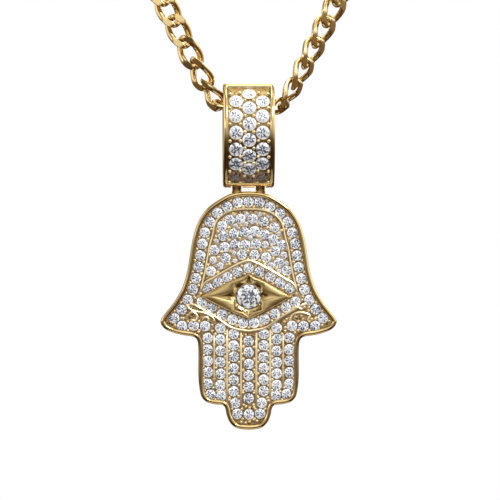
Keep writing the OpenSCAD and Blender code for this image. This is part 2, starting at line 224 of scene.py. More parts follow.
# Stone sizes as shares of the small stone's
PALM_SHARE, ACCENT_SHARE, CHIP_SHARE = 0.97, 0.66, 0.42
ARCH_LINE = [(49.2, 101), (45.3, 88), (42, 71.5), (39.3, 56), (36.5, 46), (33, 31.5), (25.5, 23.5),
             (16.5, 19), (8, 17.6), (0, 17.3)]
BROW_LINE = [(49.2, 102), (44, 92), (34, 86), (24, 80), (12, 73.5), (4, 70), (0, 69.3)]
LID_LINE = [(57.5, 111.5), (46, 118), (33, 125.5), (20, 134.5), (12, 137.5), (0, 139.5)]
EYE_LEVEL = 105
EYE_CORNER = [(0, 22.4), (4, 20.7), (8, 19), (14, 16.3), (20, 13.4), (27, 9.9), (33, 6.9), (39, 3.6), (45, 0)]
STAR_CORNER = [
    (0, 20.8), (2.3, 17.7), (4.8, 15.2), (9, 14.5), (13.6, 13.5), (13.9, 9), (14.4, 4.4), (22, 2.2), (32, 0)]
STAR_FLOOR = [
    (0, 16.6), (1.2, 15.2), (3.6, 13.9), (8, 12.9), (11.8, 11.8), (12.7, 8), (12.9, 2.6), (17, 0.3), (21, 0)]
STAR_DEPTHS = [0.75, 0.9, 1, 1, 1, 1, 0.85, 0.5, 0.3]
# The brushed petals from their outer edge to the star: share of the way, drop below the top
PETAL_ROWS = [
    (0.05, 0.17), (0.14, 0.08), (0.30, 0.01), (0.50, -0.03), (0.70, -0.02), (0.86, 0.03), (0.97, 0.10)]
# Scrolls of wire in the pockets of the thumbs: left and right differ
SCROLLS = [
    [(-63, 112), (-59, 117.5), (-52, 120), (-44, 121.5), (-37, 125), (-34, 130)],
    [(-61, 124), (-56, 120.5), (-51.5, 124.5), (-53, 129), (-58, 128)],
    [(-47, 127.5), (-42, 125.5), (-39.5, 129.5)],
    [(41, 129), (44, 123.5), (50, 121), (56, 121.5), (61, 124), (59, 129)],
    [(44, 117), (49, 115.5), (53, 117.5), (57, 114.5)]]
# Heights of the stones on the bail, as shares of its half height
MIDDLE_ROWS = [0.795, 0.51, 0.2, -0.113, -0.418, -0.68, -0.892]
SIDE_ROWS = [0.647, 0.355, 0.022, -0.298, -0.583, -0.83]
# Beads above the stones: half their distance apart in columns of stones, and the share of the half height
TOP_BEADS = [(0.70, 0.815), (1.34, 0.805)]


def settings(name):
    return getattr(bpy.context.scene, name)


# Shader maths

class Value:
    """A socket of a material, usable in a Python expression."""

    def __init__(self, paint, socket):
        self.paint = paint
        self.socket = socket

    def _math(self, operation, a, b=None):
        sockets = {0: a} if b is None else {0: a, 1: b}
        return self.paint.node("ShaderNodeMath", {"operation": operation}, sockets)

    def __add__(self, other):
        return self._math("ADD", self, other)

    def __radd__(self, other):
        return self._math("ADD", other, self)

    def __sub__(self, other):
        return self._math("SUBTRACT", self, other)

    def __rsub__(self, other):
        return self._math("SUBTRACT", other, self)

    def __mul__(self, other):
        return self._math("MULTIPLY", self, other)

    def __truediv__(self, other):
        return self._math("DIVIDE", self, other)

    def clamped(self):
        return self.paint.node("ShaderNodeClamp", {}, {0: self, 1: 0.0, 2: 1.0})


class Shading:
    """A shader tree and the ways to add to it."""

    def __init__(self, tree):
        self.tree = tree
        tree.nodes.clear()

    def node(self, kind, options=None, sockets=None, output=0):
        """Adds a node: its settings first, then the values or links of its sockets."""
        made = self.tree.nodes.new(kind)
        for key, value in (options or {}).items():
            if key == "stops":
                ramp = made.color_ramp
                while len(ramp.elements) < len(value):
                    ramp.elements.new(0.5)
                for element, (place, colour) in zip(ramp.elements, value):
                    element.position = place
                    element.color = (*colour, 1.0)
            else:
                setattr(made, key, value)
        for key, value in (sockets or {}).items():
            socket = made.inputs[key]
            if isinstance(value, Value):
                self.tree.links.new(value.socket, socket)
            elif hasattr(value, "__len__") and socket.type == "RGBA" and len(value) == 3:
                socket.default_value = (*value, 1.0)
            else:
                socket.default_value = value
        return Value(self, made.outputs[output]) if made.outputs else None

    def blend(self, amount, a, b):
        """A colour between two colours."""
        return self.node("ShaderNodeMix", {"data_type": "RGBA"}, {0: amount, 6: a, 7: b}, output=2)

    def ramp(self, value, *stops):
        return self.node("ShaderNodeValToRGB", {"stops": stops}, {0: value})


class Paint(Shading):
    """One material, and the nodes that make it."""

    def __init__(self, name):
        self.material = bpy.data.materials.new(name)
        self.material.use_nodes = True
        super().__init__(self.material.node_tree)
        self.shader = self.tree.nodes.new("ShaderNodeBsdfPrincipled")
        out = self.tree.nodes.new("ShaderNodeOutputMaterial")
        self.tree.links.new(self.shader.outputs[0], out.inputs[0])

    def feed(self, **sockets):
        """Sets or links the sockets of the surface shader."""
        for key, value in sockets.items():
            socket = self.shader.inputs[key.replace("_", " ")]
            if isinstance(value, Value):
                self.tree.links.new(value.socket, socket)
            elif hasattr(value, "__len__") and socket.type == "RGBA":
                socket.default_value = (*value, 1.0)
            else:
                socket.default_value = value

    def place(self):
        return self.node("ShaderNodeTexCoord", output=3)

    def noise(self, scale, detail=3.0, rough=0.55, stretch=None):
        where = self.place()
        if stretch:
            where = self.node("ShaderNodeMapping", {}, {"Vector": where, "Scale": stretch})
        return self.node("ShaderNodeTexNoise", {}, {"Vector": where, "Scale": scale, "Detail": detail,
                                                    "Roughness": rough})

    def cells(self, scale, output=0):
        """Cells in space: the distance to each middle, or with output 1 a tone that each cell holds."""
        return self.node("ShaderNodeTexVoronoi", {"feature": "F1"}, {"Vector": self.place(), "Scale": scale}, output)

    def bump(self, height, depth, strength=1.0):
        return self.node("ShaderNodeBump", {}, {"Height": height, "Distance": depth, "Strength": strength})

    def attribute(self, name):
        return self.node("ShaderNodeAttribute", {"attribute_name": name, "attribute_type": "GEOMETRY"}, output=2)


def polished_gold():
    """Mirror gold with a warm drift of colour, fine polishing haze and a soft cast waviness."""
    g = settings("pendant_gold")
    paint = Paint("polished_gold")
    drift = paint.noise(220.0, 2.0)
    haze = paint.noise(1400.0, 4.0)
    worn = paint.ramp(drift, (0.38, (0.0, 0.0, 0.0)), (0.72, (1.0, 1.0, 1.0)))
    paint.feed(Base_Color=paint.blend(worn * 0.28, g.light[:], g.deep[:]), Metallic=1.0,
               Roughness=g.polish * 0.65 + haze * g.polish * 0.7,
               Normal=paint.bump(paint.noise(420.0, 2.0) + haze * 0.25, 0.00002, 0.45))
    return paint.material


# How far the gold is darkened towards brown as painted shade, by height as a share: the hamsa's rim on both sides, and
# the bail's sides
RIM_LEFT = [
    (0.15, 0.09), (0.19, 0.55), (0.38, 0.55), (0.41, 0.0), (0.455, 0.0), (0.49, 0.5), (0.88, 0.38), (0.97, 0.0)]
RIM_RIGHT = [(0.15, 0.09), (0.19, 0.6), (0.38, 0.6), (0.41, 0.0)]
BAND_SIDES = [(0.04, 0.05), (0.09, 0.7), (0.30, 0.78), (0.48, 0.3), (0.60, 0.0)]


def shade_painted_gold(name, middle, foot, height, left, right):
    """Polished gold darkened towards brown as painted shade, by shares charted upwards for its left and its right
    side.
    """
    g = settings("pendant_gold")
    paint = Paint(name)
    drift = paint.noise(220.0, 2.0)
    across = paint.node("ShaderNodeSeparateXYZ", {}, {0: paint.place()})
    up = paint.node("ShaderNodeSeparateXYZ", {}, {0: paint.place()}, output=2)
    rise = ((up - foot) / height).clamped()
    on_right = ((across - middle) * 400.0 + 0.5).clamped()
    # Painted shade: the share by height, from the left or the right chart, blends the gold towards the pit colour
    shade = paint.blend(on_right, *[paint.ramp(rise, *[(at, grey(share)) for at, share in chart])
                                    for chart in (left, right)])
    paint.feed(Base_Color=paint.blend(shade, paint.blend(drift * 0.25, g.light[:], g.deep[:]), g.pit_and_shade[:]),
               Metallic=1.0, Roughness=g.polish * 0.8 + drift * 0.04,
               Normal=paint.bump(paint.noise(420.0, 2.0), 0.00002, 0.45))
    return paint.material


def rim_gold():
    top, height = hamsa_anchor(), settings("pendant_hamsa").height
    return shade_painted_gold("rim_gold", top.x, top.z - height, height, RIM_LEFT, RIM_RIGHT)


def band_gold():
    middle, height = bail_anchor(), settings("pendant_bail").height
    return shade_painted_gold("band_gold", middle.x, middle.z - height / 2, height, BAND_SIDES, BAND_SIDES)


def chain_gold():
    """Bright-cut gold of the links, with the fine lines that the cutter leaves."""
    g = settings("pendant_gold")
    paint = Paint("chain_gold")
    drift = paint.noise(300.0, 2.0)
    cut = paint.noise(900.0, 2.0, 0.5, (1.0, 1.0, 9.0))
    worn = paint.ramp(drift, (0.4, (0.0, 0.0, 0.0)), (0.75, (1.0, 1.0, 1.0)))
    paint.feed(Base_Color=paint.blend(worn * 0.35, g.light[:], g.deep[:]), Metallic=1.0,
               Roughness=g.polish + 0.05 + cut * 0.05)
    return paint.material


def field_gold(name, foot_tint, top_tint, depth, foot, top):
    """Gold of a stone field, dark in its pits, which paint shade between the stones as well as a pitted look, with
    graver marks of that depth and a tint that turns with height.
    """
    g = settings("pendant_gold")
    paint = Paint(name)
    pits = paint.cells(2600.0)
    marks = paint.noise(1500.0, 5.0, 0.65)
    # Dark spots round the middles of the cells: pits, and painted shade between the stones
    dark = paint.ramp(pits, (0.13, (1.0, 1.0, 1.0)), (0.5, (0.0, 0.0, 0.0)))
    split = paint.node("ShaderNodeSeparateXYZ", {}, {0: paint.place()}, output=2)
    rise = ((split - foot) / (top - foot)).clamped()
    paint.feed(Base_Color=paint.blend(dark * 0.9, paint.blend(rise, foot_tint, top_tint), g.pit_and_shade[:]), Metallic=1.0,
               Roughness=0.18 + marks * 0.2,
               Normal=paint.bump(marks + dark * 0.5, depth, 0.9))
    return paint.material


def palm_field():
    g, top, height = settings("pendant_gold"), hamsa_anchor().z, settings("pendant_hamsa").height
    return field_gold("palm_field", g.brown[:], g.dull[:], 0.00008, top - height * 0.60, top - height * 0.40)


def bail_field():
    g, middle, b = settings("pendant_gold"), bail_anchor().z, settings("pendant_bail")
    # The field turns from olive to the dark pit colour towards the bail's foot: painted shade where the band faces the
    # ground
    return field_gold("bail_field", g.pit_and_shade[:], g.olive[:], 0.00003, middle - b.height / 3, middle + b.height / 4)


def cut_gold():
    """Dark gold painted as shadow in the cuts beside the ridges, in the recesses and round the seats."""
    g = settings("pendant_gold")
    paint = Paint("cut_gold")
    drift = paint.noise(900.0, 2.0)
    paint.feed(Base_Color=paint.blend(drift, g.pit_and_shade[:], g.deep[:]), Metallic=1.0, Roughness=0.25 + drift * 0.15)
    return paint.material


def bead_gold():
    """Pale gold of the small beads and ridges, with a faint glow that paints a highlight on them."""
    g = settings("pendant_gold")
    paint = Paint("bead_gold")
    drift = paint.noise(800.0, 2.0)
    # The emission is a painted glow, not a lamp
    paint.feed(Base_Color=paint.blend(drift, g.bead[:], g.light[:]), Metallic=1.0, Roughness=0.28 + drift * 0.1,
               Emission_Color=g.bead[:], Emission_Strength=0.12)
    return paint.material


def satin_gold():
    """Brushed gold of the eye's petals, with fine lines along the plate."""
    g = settings("pendant_gold")
    paint = Paint("satin_gold")
    lines = paint.noise(1100.0, 3.0, 0.6, (0.22, 1.0, 2.6))
    cloud = paint.noise(300.0, 2.0)
    paint.feed(Base_Color=paint.blend((lines * 0.5 + cloud * 0.4).clamped(), g.satin[:], g.light[:]), Metallic=1.0,
               Roughness=g.brushed - 0.08 + lines * 0.2,
               Normal=paint.bump(lines, 0.00003, 0.7))
    return paint.material


def stone_paint(name):
    """Clear cut stone: each facet carries its own tone from white to slate as a painted reflection, under a hard
    gloss.
    """
    s = settings("pendant_stones")
    paint = Paint(name)
    facet = paint.attribute("facet")
    tone = paint.attribute("tone")
    # Cells of random tone across the facets: painted sparkle
    flash = paint.cells(4200.0, 1)
    shade = paint.ramp(facet + tone * 0.6 + flash * 0.35 - 0.45,
                       (0.28, grey(0.0)), (0.45, grey(0.40)), (0.75, grey(1.0)))
    # Stones with the highest tones, facing the ground, turn to amber and shaded facets: painted shade
    low = paint.ramp(tone, (0.88, grey(0.0)), (0.97, grey(0.94)))
    dark = s.slate[:] if name == "small_stone" else s.dark[:]
    colour = paint.blend(low, paint.blend(shade, s.bright[:], dark), paint.blend(shade, s.amber[:], s.shaded[:]))
    # The emission makes the stones glow: painted light
    paint.feed(Base_Color=colour, Metallic=0.1, Emission_Color=colour,
               Emission_Strength=0.35 if name == "small_stone" else 0.30,
               Roughness=0.05 + shade * 0.06, IOR=1.8, Coat_Weight=1.0 - low, Coat_Roughness=0.02, Coat_IOR=1.7)
    return paint.material


def floor_paint():
    st = settings("pendant_stage")
    paint = Paint("studio_floor")
    soft = paint.noise(3.0, 2.0)
    pale = [c * 0.96 for c in st.floor_tint]
    paint.feed(Base_Color=paint.blend(soft, st.floor_tint[:], pale), Roughness=0.7)
    return paint.material


def paint_of(name):
    """The material of that name, made when it is first asked for."""
    if name in bpy.data.materials:
        return bpy.data.materials[name]
    recipes = {"polished_gold": polished_gold, "chain_gold": chain_gold, "satin_gold": satin_gold,
               "bead_gold": bead_gold, "cut_gold": cut_gold, "studio_floor": floor_paint,
               "palm_field": palm_field, "bail_field": bail_field, "rim_gold": rim_gold,
               "band_gold": band_gold}
    return recipes[name]() if name in recipes else stone_paint(name)


# Shapes

class Shape:
    """Points in millimetres round an anchor, and the faces between them."""

    def __init__(self, anchor):
        self.anchor = Vector(anchor)
        self.points = []
        self.faces = []
        self.paints = []

    def loop(self, points):
        start = len(self.points)
        self.points.extend(Vector(p) for p in points)
        return list(range(start, len(self.points)))

    def face(self, corners, paint=0):
        self.faces.append(list(corners))
        self.paints.append(paint)

    def bridge(self, a, b, paint=0):
        """Faces between two closed loops."""
        for i in range(len(a)):
            j = (i + 1) % len(a)
            self.face((a[i], a[j], b[j], b[i]), paint)

    def skin(self, loops, paint=0):
        """Faces along a row of closed loops."""
        rings = [self.loop(points) for points in loops]
        for a, b in zip(rings, rings[1:]):
            self.bridge(a, b, paint)
        return rings

    def cap(self, ring, paint=0):
        """Fills a flat ring, which may be hollow-sided, with triangles."""
        flat = [self.points[i] for i in ring]
        for corner in tessellate_polygon([flat]):
            self.face([ring[i] for i in corner], paint)

    def make(self, name, paints, smooth=ROUND_EDGE):
        mesh = bpy.data.meshes.new(name)
        mesh.from_pydata([self.anchor + p * MM for p in self.points], [], self.faces)
        for paint in paints:
            mesh.materials.append(paint_of(paint))
        mesh.polygons.foreach_set("material_index", self.paints)
        work = bmesh.new()
        work.from_mesh(mesh)
        bmesh.ops.remove_doubles(work, verts=work.verts, dist=WELD)
        bmesh.ops.dissolve_degenerate(work, edges=work.edges, dist=WELD)
        bmesh.ops.recalc_face_normals(work, faces=work.faces)
        work.to_mesh(mesh)
        work.free()
        mesh.shade_smooth()
        mesh.set_sharp_from_angle(angle=math.radians(smooth))
        made = bpy.data.objects.new(name, mesh)
        bpy.context.scene.collection.objects.link(made)
        return made


def settle(obj, body, slot, *replaced):
    """Hangs a finished piece on its body and hides the CAD nodes that it stands for; its material slot is not used."""
    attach(obj, body)
    if replaced:
        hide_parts(*replaced)


def spline(a, b, c, d, t):
    return (2 * b + (c - a) * t + (2 * a - 5 * b + 4 * c - d) * t * t + (3 * b - a - 3 * c + d) * t * t * t) / 2


def closed_curve(points, steps):
    n = len(points)
    return [spline(points[i - 1], points[i], points[(i + 1) % n], points[(i + 2) % n], k / steps)
            for i in range(n) for k in range(steps)]


def open_curve(points, steps):
    n = len(points)
    curve = [spline(points[max(i - 1, 0)], points[i], points[i + 1], points[min(i + 2, n - 1)], k / steps)
             for i in range(n - 1) for k in range(steps)]
    return curve + [points[-1]]


def evaluated_mesh(obj, name):
    """The plain mesh of an object with its modifiers worked out."""
    graph = bpy.context.evaluated_depsgraph_get()
    mesh = bpy.data.meshes.new_from_object(obj.evaluated_get(graph), depsgraph=graph)
    mesh.name = name
    return mesh


def cut(obj, cutters):
    """Cuts closed shapes out of a piece and drops the cutters."""
    for cutter in cutters:
        step = obj.modifiers.new("cut", "BOOLEAN")
        step.operation = "DIFFERENCE"
        step.solver = "EXACT"
        step.object = cutter
    mesh = evaluated_mesh(obj, obj.name)
    obj.modifiers.clear()
    obj.data = mesh
    mesh.shade_smooth()
    mesh.set_sharp_from_angle(angle=math.radians(ROUND_EDGE))
    for cutter in cutters:
        bpy.data.objects.remove(cutter)


def box_shape(anchor, centre, extent):
    shape = Shape(anchor)
    x, y, z = (e / 2 for e in extent)
    shape.skin([[Vector(centre) + Vector(p) for p in ((-x, -y, h), (x, -y, h), (x, y, h), (-x, y, h))]
                for h in (-z, z)])
    shape.face((3, 2, 1, 0))
    shape.face((4, 5, 6, 7))
    return shape


# Where the CAD pieces are

def bail_anchor():
    low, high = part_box("bail_frame")
    return (Vector(low) + Vector(high)) / 2


def hamsa_anchor():
    """Top of the hamsa, on its middle plane."""
    h = settings("pendant_hamsa")
    low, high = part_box("hamsa_frame")
    return Vector(((low[0] + high[0]) / 2, high[1] - h.thickness / 2, low[2] + h.height))


def chart(p):
    """A charted place as millimetres right of the middle line and below the top."""
    h = settings("pendant_hamsa")
    return Vector((p[0] * h.width / MM / CHART[0], -p[1] * h.height / MM / CHART[1]))


def both_sides(charted):
    """Charted places with their mirror images."""
    return [(side * x, y) for x, y in charted for side in ((1, -1) if x > 0 else (1,))]


# Geometry Nodes

class Tree:
    """A Geometry Nodes tree with named inputs, built node by node."""

    def __init__(self, name, inputs):
        self.tree = bpy.data.node_groups.new(name, "GeometryNodeTree")
        face = self.tree.interface
        face.new_socket("Geometry", in_out="INPUT", socket_type="NodeSocketGeometry")
        self.names = {}
        for label, kind, default in inputs:
            socket = face.new_socket(label, in_out="INPUT", socket_type=kind)
            if default is not None:
                socket.default_value = default
            self.names[label] = socket.identifier
        face.new_socket("Geometry", in_out="OUTPUT", socket_type="NodeSocketGeometry")
        self.entry = self.tree.nodes.new("NodeGroupInput")
        self.exit = self.tree.nodes.new("NodeGroupOutput")

    def given(self, label):
        return self.entry.outputs[label]

    def node(self, kind, options=None, sockets=None, output=0):
        made = self.tree.nodes.new(kind)
        for key, value in (options or {}).items():
            setattr(made, key, value)
        for key, value in (sockets or {}).items():
            if isinstance(value, bpy.types.NodeSocket):
                self.tree.links.new(value, made.inputs[key])
            else:
                made.inputs[key].default_value = value
        return made.outputs[output]

    def math(self, operation, a, b=0.0):
        return self.node("ShaderNodeMath", {"operation": operation}, {0: a, 1: b})

    def finish(self, geometry):
        real = self.node("GeometryNodeRealizeInstances", {}, {0: geometry})
        painted = self.node("GeometryNodeSetMaterial", {}, {"Geometry": real, "Material": self.given("Material")})
        self.tree.links.new(painted, self.exit.inputs[0])

    def run(self, points, name, **values):
        """Runs the tree on a carrier object and returns the plain result as a new object."""
        step = points.modifiers.new(name, "NODES")
        step.node_group = self.tree
        for label, value in values.items():
            step[self.names[label.replace("_", " ")]] = value
        mesh = evaluated_mesh(points, name)
        points.modifiers.clear()
        bpy.data.objects.remove(points)
        made = bpy.data.objects.new(name, mesh)
        bpy.context.scene.collection.objects.link(made)
        return made


def carrier(places, turns, tones=None, sizes=None):
    """A mesh of points, with the turn, tone and size that each copy takes."""
    mesh = bpy.data.meshes.new("places")
    mesh.from_pydata([Vector(p) for p in places], [], [])
    turn = mesh.attributes.new("turn", "QUATERNION", "POINT")
    for item, q in zip(turn.data, turns):
        item.value = (q.w, q.x, q.y, q.z)
    for name, values in (("tone", tones), ("size", sizes)):
        attribute = mesh.attributes.new(name, "FLOAT", "POINT")
        for i, item in enumerate(attribute.data):
            item.value = values[i] if values else 1.0
    made = bpy.data.objects.new("places", mesh)
    bpy.context.scene.collection.objects.link(made)
    return made


def link_tree():
    """A bright-cut curb link on every point."""
    inputs = [("Half length", "NodeSocketFloat", 0.0022), ("Half width", "NodeSocketFloat", 0.0013),
              ("Twist", "NodeSocketFloat", 0.0006), ("Wire width", "NodeSocketFloat", 0.0009),
              ("Wire height", "NodeSocketFloat", 0.0008), ("Flat", "NodeSocketFloat", 0.0007),
              ("Material", "NodeSocketMaterial", None)]
    t = Tree("curb_links", inputs)
    ring = t.node("GeometryNodeCurvePrimitiveCircle", {}, {"Resolution": 40, "Radius": 1.0})
    way = t.node("GeometryNodeSplineParameter")
    around = t.math("MULTIPLY", way, 2 * math.pi)
    x = t.math("MULTIPLY", t.math("COSINE", around), t.given("Half length"))
    y = t.math("MULTIPLY", t.math("SINE", around), t.given("Half width"))
    z = t.math("MULTIPLY", t.math("SINE", t.math("MULTIPLY", around, 2.0)), t.given("Twist"))
    place = t.node("ShaderNodeCombineXYZ", {}, {0: x, 1: y, 2: z})
    bent = t.node("GeometryNodeSetPosition", {}, {"Geometry": ring, "Position": place})
    upright = t.node("GeometryNodeSetCurveNormal", {"mode": "Z_UP"}, {0: bent})
    section = t.node("GeometryNodeCurvePrimitiveCircle", {}, {"Resolution": 12, "Radius": 0.5})
    scale = t.node("ShaderNodeCombineXYZ", {}, {0: t.given("Wire width"), 1: t.given("Wire height"), 2: 1.0})
    oval = t.node("GeometryNodeTransform", {}, {"Geometry": section, "Scale": scale})
    tube = t.node("GeometryNodeCurveToMesh", {}, {"Curve": upright, "Profile Curve": oval})
    here = t.node("GeometryNodeInputPosition")
    split = t.tree.nodes.new("ShaderNodeSeparateXYZ")
    t.tree.links.new(here, split.inputs[0])
    low = t.math("MULTIPLY", t.given("Flat"), -1.0)
    level = t.math("MINIMUM", t.math("MAXIMUM", split.outputs[2], low), t.given("Flat"))
    shaved = t.node("ShaderNodeCombineXYZ", {}, {0: split.outputs[0], 1: split.outputs[1], 2: level})
    flat = t.node("GeometryNodeSetPosition", {}, {"Geometry": tube, "Position": shaved})
    crease = t.node("GeometryNodeInputMeshEdgeAngle")
    soft = t.node("FunctionNodeCompare", {"data_type": "FLOAT", "operation": "LESS_THAN"},
                  {0: crease, 1: math.radians(LINK_ROUND_EDGE)})
    smooth = t.node("GeometryNodeSetShadeSmooth", {"domain": "FACE"}, {"Geometry": flat, "Shade Smooth": True})
    creased = t.node("GeometryNodeSetShadeSmooth", {"domain": "EDGE"}, {"Geometry": smooth, "Shade Smooth": soft})
    turn = t.node("GeometryNodeInputNamedAttribute", {"data_type": "QUATERNION"}, {"Name": "turn"})
    copies = t.node("GeometryNodeInstanceOnPoints", {},
                    {"Points": t.given("Geometry"), "Instance": creased, "Rotation": turn})
    t.finish(copies)
    return t


def copy_tree(name):
    """A copy of one shape on every point, turned and sized by the point's own values."""
    inputs = [("Shape", "NodeSocketObject", None), ("Size", "NodeSocketFloat", 1.0), ("Seed", "NodeSocketInt", 7),
              ("Tilt", "NodeSocketFloat", 0.05), ("Material", "NodeSocketMaterial", None)]
    t = Tree(name, inputs)
    source = t.node("GeometryNodeObjectInfo", {}, {"Object": t.given("Shape")}, output=4)
    turn = t.node("GeometryNodeInputNamedAttribute", {"data_type": "QUATERNION"}, {"Name": "turn"})
    own = t.node("GeometryNodeInputNamedAttribute", {"data_type": "FLOAT"}, {"Name": "size"})
    scale = t.math("MULTIPLY", own, t.given("Size"))
    copies = t.node("GeometryNodeInstanceOnPoints", {},
                    {"Points": t.given("Geometry"), "Instance": source, "Rotation": turn, "Scale": scale})
    lean = t.math("MULTIPLY", t.given("Tilt"), -1.0)
    low = t.node("ShaderNodeCombineXYZ", {}, {0: lean, 1: lean, 2: -3.1})
    high = t.node("ShaderNodeCombineXYZ", {}, {0: t.given("Tilt"), 1: t.given("Tilt"), 2: 3.1})
    spin = t.node("FunctionNodeRandomValue", {"data_type": "FLOAT_VECTOR"},
                  {"Min": low, "Max": high, "Seed": t.given("Seed")})
    turned = t.node("GeometryNodeRotateInstances", {}, {"Instances": copies, "Rotation": spin})
    t.finish(turned)
    return t


class PENDANT_OT_chain(bpy.types.Operator):
    """Makes the curb chain's links along the worn loop"""
    bl_idname = "pendant.chain"
    bl_label = "Curb chain"

    def execute(self, context):
        c = settings("pendant_chain")
        places, turns = chain_places(c)
        made = link_tree().run(
            carrier(places, turns), "chain_links",
            Half_length=(c.pitch + c.play + c.cad_wire) / 2, Half_width=(c.width - c.wire) / 2,
            Twist=c.twist, Wire_width=c.wire, Wire_height=c.wire_height, Flat=c.flat,
            Material=paint_of("chain_gold"))
        settle(made, "chain", "gold", "chain_left", "chain_right")
        return {"FINISHED"}


def chain_places(c):
    """Middle and turn of every link: a turn inside the bail, two legs, and an arc round the neck."""
    slope = math.pi / 2 - c.leg_angle
    turn = 2 * math.asin(c.pitch / c.turn_radius / 2)
    on_turn = math.floor(slope / turn + 0.5)

    def corner(a):
        return c.turn_radius * Vector((math.sin(a), 1 - math.cos(a)))

    start = corner(slope)
    way = Vector((math.sin(c.leg_angle), math.cos(c.leg_angle)))
    gap = start - corner((on_turn - 0.5) * turn)
    first = math.sqrt((gap @ way) ** 2 + c.pitch ** 2 - gap @ gap) - gap @ way
    link_half = (c.pitch + c.play + c.cad_wire) / 2
    reach = link_half + c.clasp_radius - (c.cad_wire + c.clasp_wire) / 2 - c.clasp_gap
    a_side = round((c.length / 2 - reach) / c.pitch)
    rest = first + (a_side - on_turn - 0.5) * c.pitch + reach
    tan = math.tan(c.leg_angle)
    neck = (rest + c.turn_radius / tan) / (1 / tan + math.pi / 2 + c.leg_angle)
    leg = (neck - c.turn_radius) / tan
    centre = start.y + leg * math.cos(c.leg_angle) + neck * math.sin(c.leg_angle)
    height = centre + neck
    radius = height / c.lean

    def flat_joint(n):
        if n <= on_turn:
            return corner((n - 0.5) * turn)
        s = first + (n - on_turn - 1) * c.pitch
        if s <= leg:
            return start + s * way
        a = (s - leg) / neck - c.leg_angle
        return Vector((neck * math.cos(a), centre + neck * math.sin(a)))

    def bent(p):
        return Vector((p[0], radius * (1 - math.cos(p[1] / radius)), radius * math.sin(p[1] / radius)))

    lowest = -bent((0, height))

    def joint(k):
        p = flat_joint(k if k > 0 else 1 - k)
        return lowest + bent((p.x if k > 0 else -p.x, p.y))

    places, turns = [], []
    for k in range(-a_side, a_side + 1):
        begin, end = joint(k), joint(k + 1)
        along = (end - begin).normalized()
        middle = (begin + end) / 2
        lean = math.asin((middle.z - lowest.z) / radius)
        side = Vector((0, -math.cos(lean), math.sin(lean))).cross(along).normalized()
        front = along.cross(side)
        if k < 0:
            roll = min(0.0, -math.pi / 2 - c.left_step * (k + 0.5))
        else:
            roll = -math.pi / 2 * c.right_kept ** k
        normal = front * math.cos(roll) + side * math.sin(roll)
        across = normal.cross(along)
        places.append(middle)
        turns.append(Matrix((along, across, normal)).transposed().to_quaternion())
    return places, turns


class PENDANT_OT_clasp(bpy.types.Operator):
    """Makes the closed spring ring at the nape"""
    bl_idname = "pendant.clasp"
    bl_label = "Spring ring clasp"

    def execute(self, context):
        c = settings("pendant_chain")
        radius, wire = c.clasp_radius / MM, c.clasp_wire / MM / 2
        lean = Matrix.Rotation(-c.lean, 3, "X")
        shape = Shape((0, 0, 0))
        loops = []
        for i in range(96):
            a = 2 * math.pi * i / 96
            off = abs(math.degrees(a) - 90)
            # A sleeve over a third of the ring, with a seam at each end
            r = wire * (1.0 if off < 62 else 0.93)
            if abs(off - 62) < 2.5:
                r = wire * 0.84
            loops.append([lean @ Vector(((radius + r * math.cos(b)) * math.cos(a),
                                         (radius + r * math.cos(b)) * math.sin(a), r * math.sin(b)))
                          for b in (2 * math.pi * j / 20 for j in range(20))])
        rings = shape.skin(loops)
        shape.bridge(rings[-1], rings[0])
        knob = [(0.0, 0.24), (0.30, 0.22), (0.42, 0.25), (0.52, 0.34), (0.64, 0.36), (0.70, 0.30), (0.72, 0.0)]
        rings = shape.skin([[lean @ Vector((r * math.cos(b), radius + h, r * math.sin(b)))
                             for b in (2 * math.pi * j / 18 for j in range(18))]
                            for h, r in ((h, max(r, 0.02)) for h, r in knob)])
        shape.cap(rings[-1])
        shape.cap(rings[0])
        settle(shape.make("clasp_ring", ["polished_gold"]), "chain", "gold", "clasp")
        return {"FINISHED"}


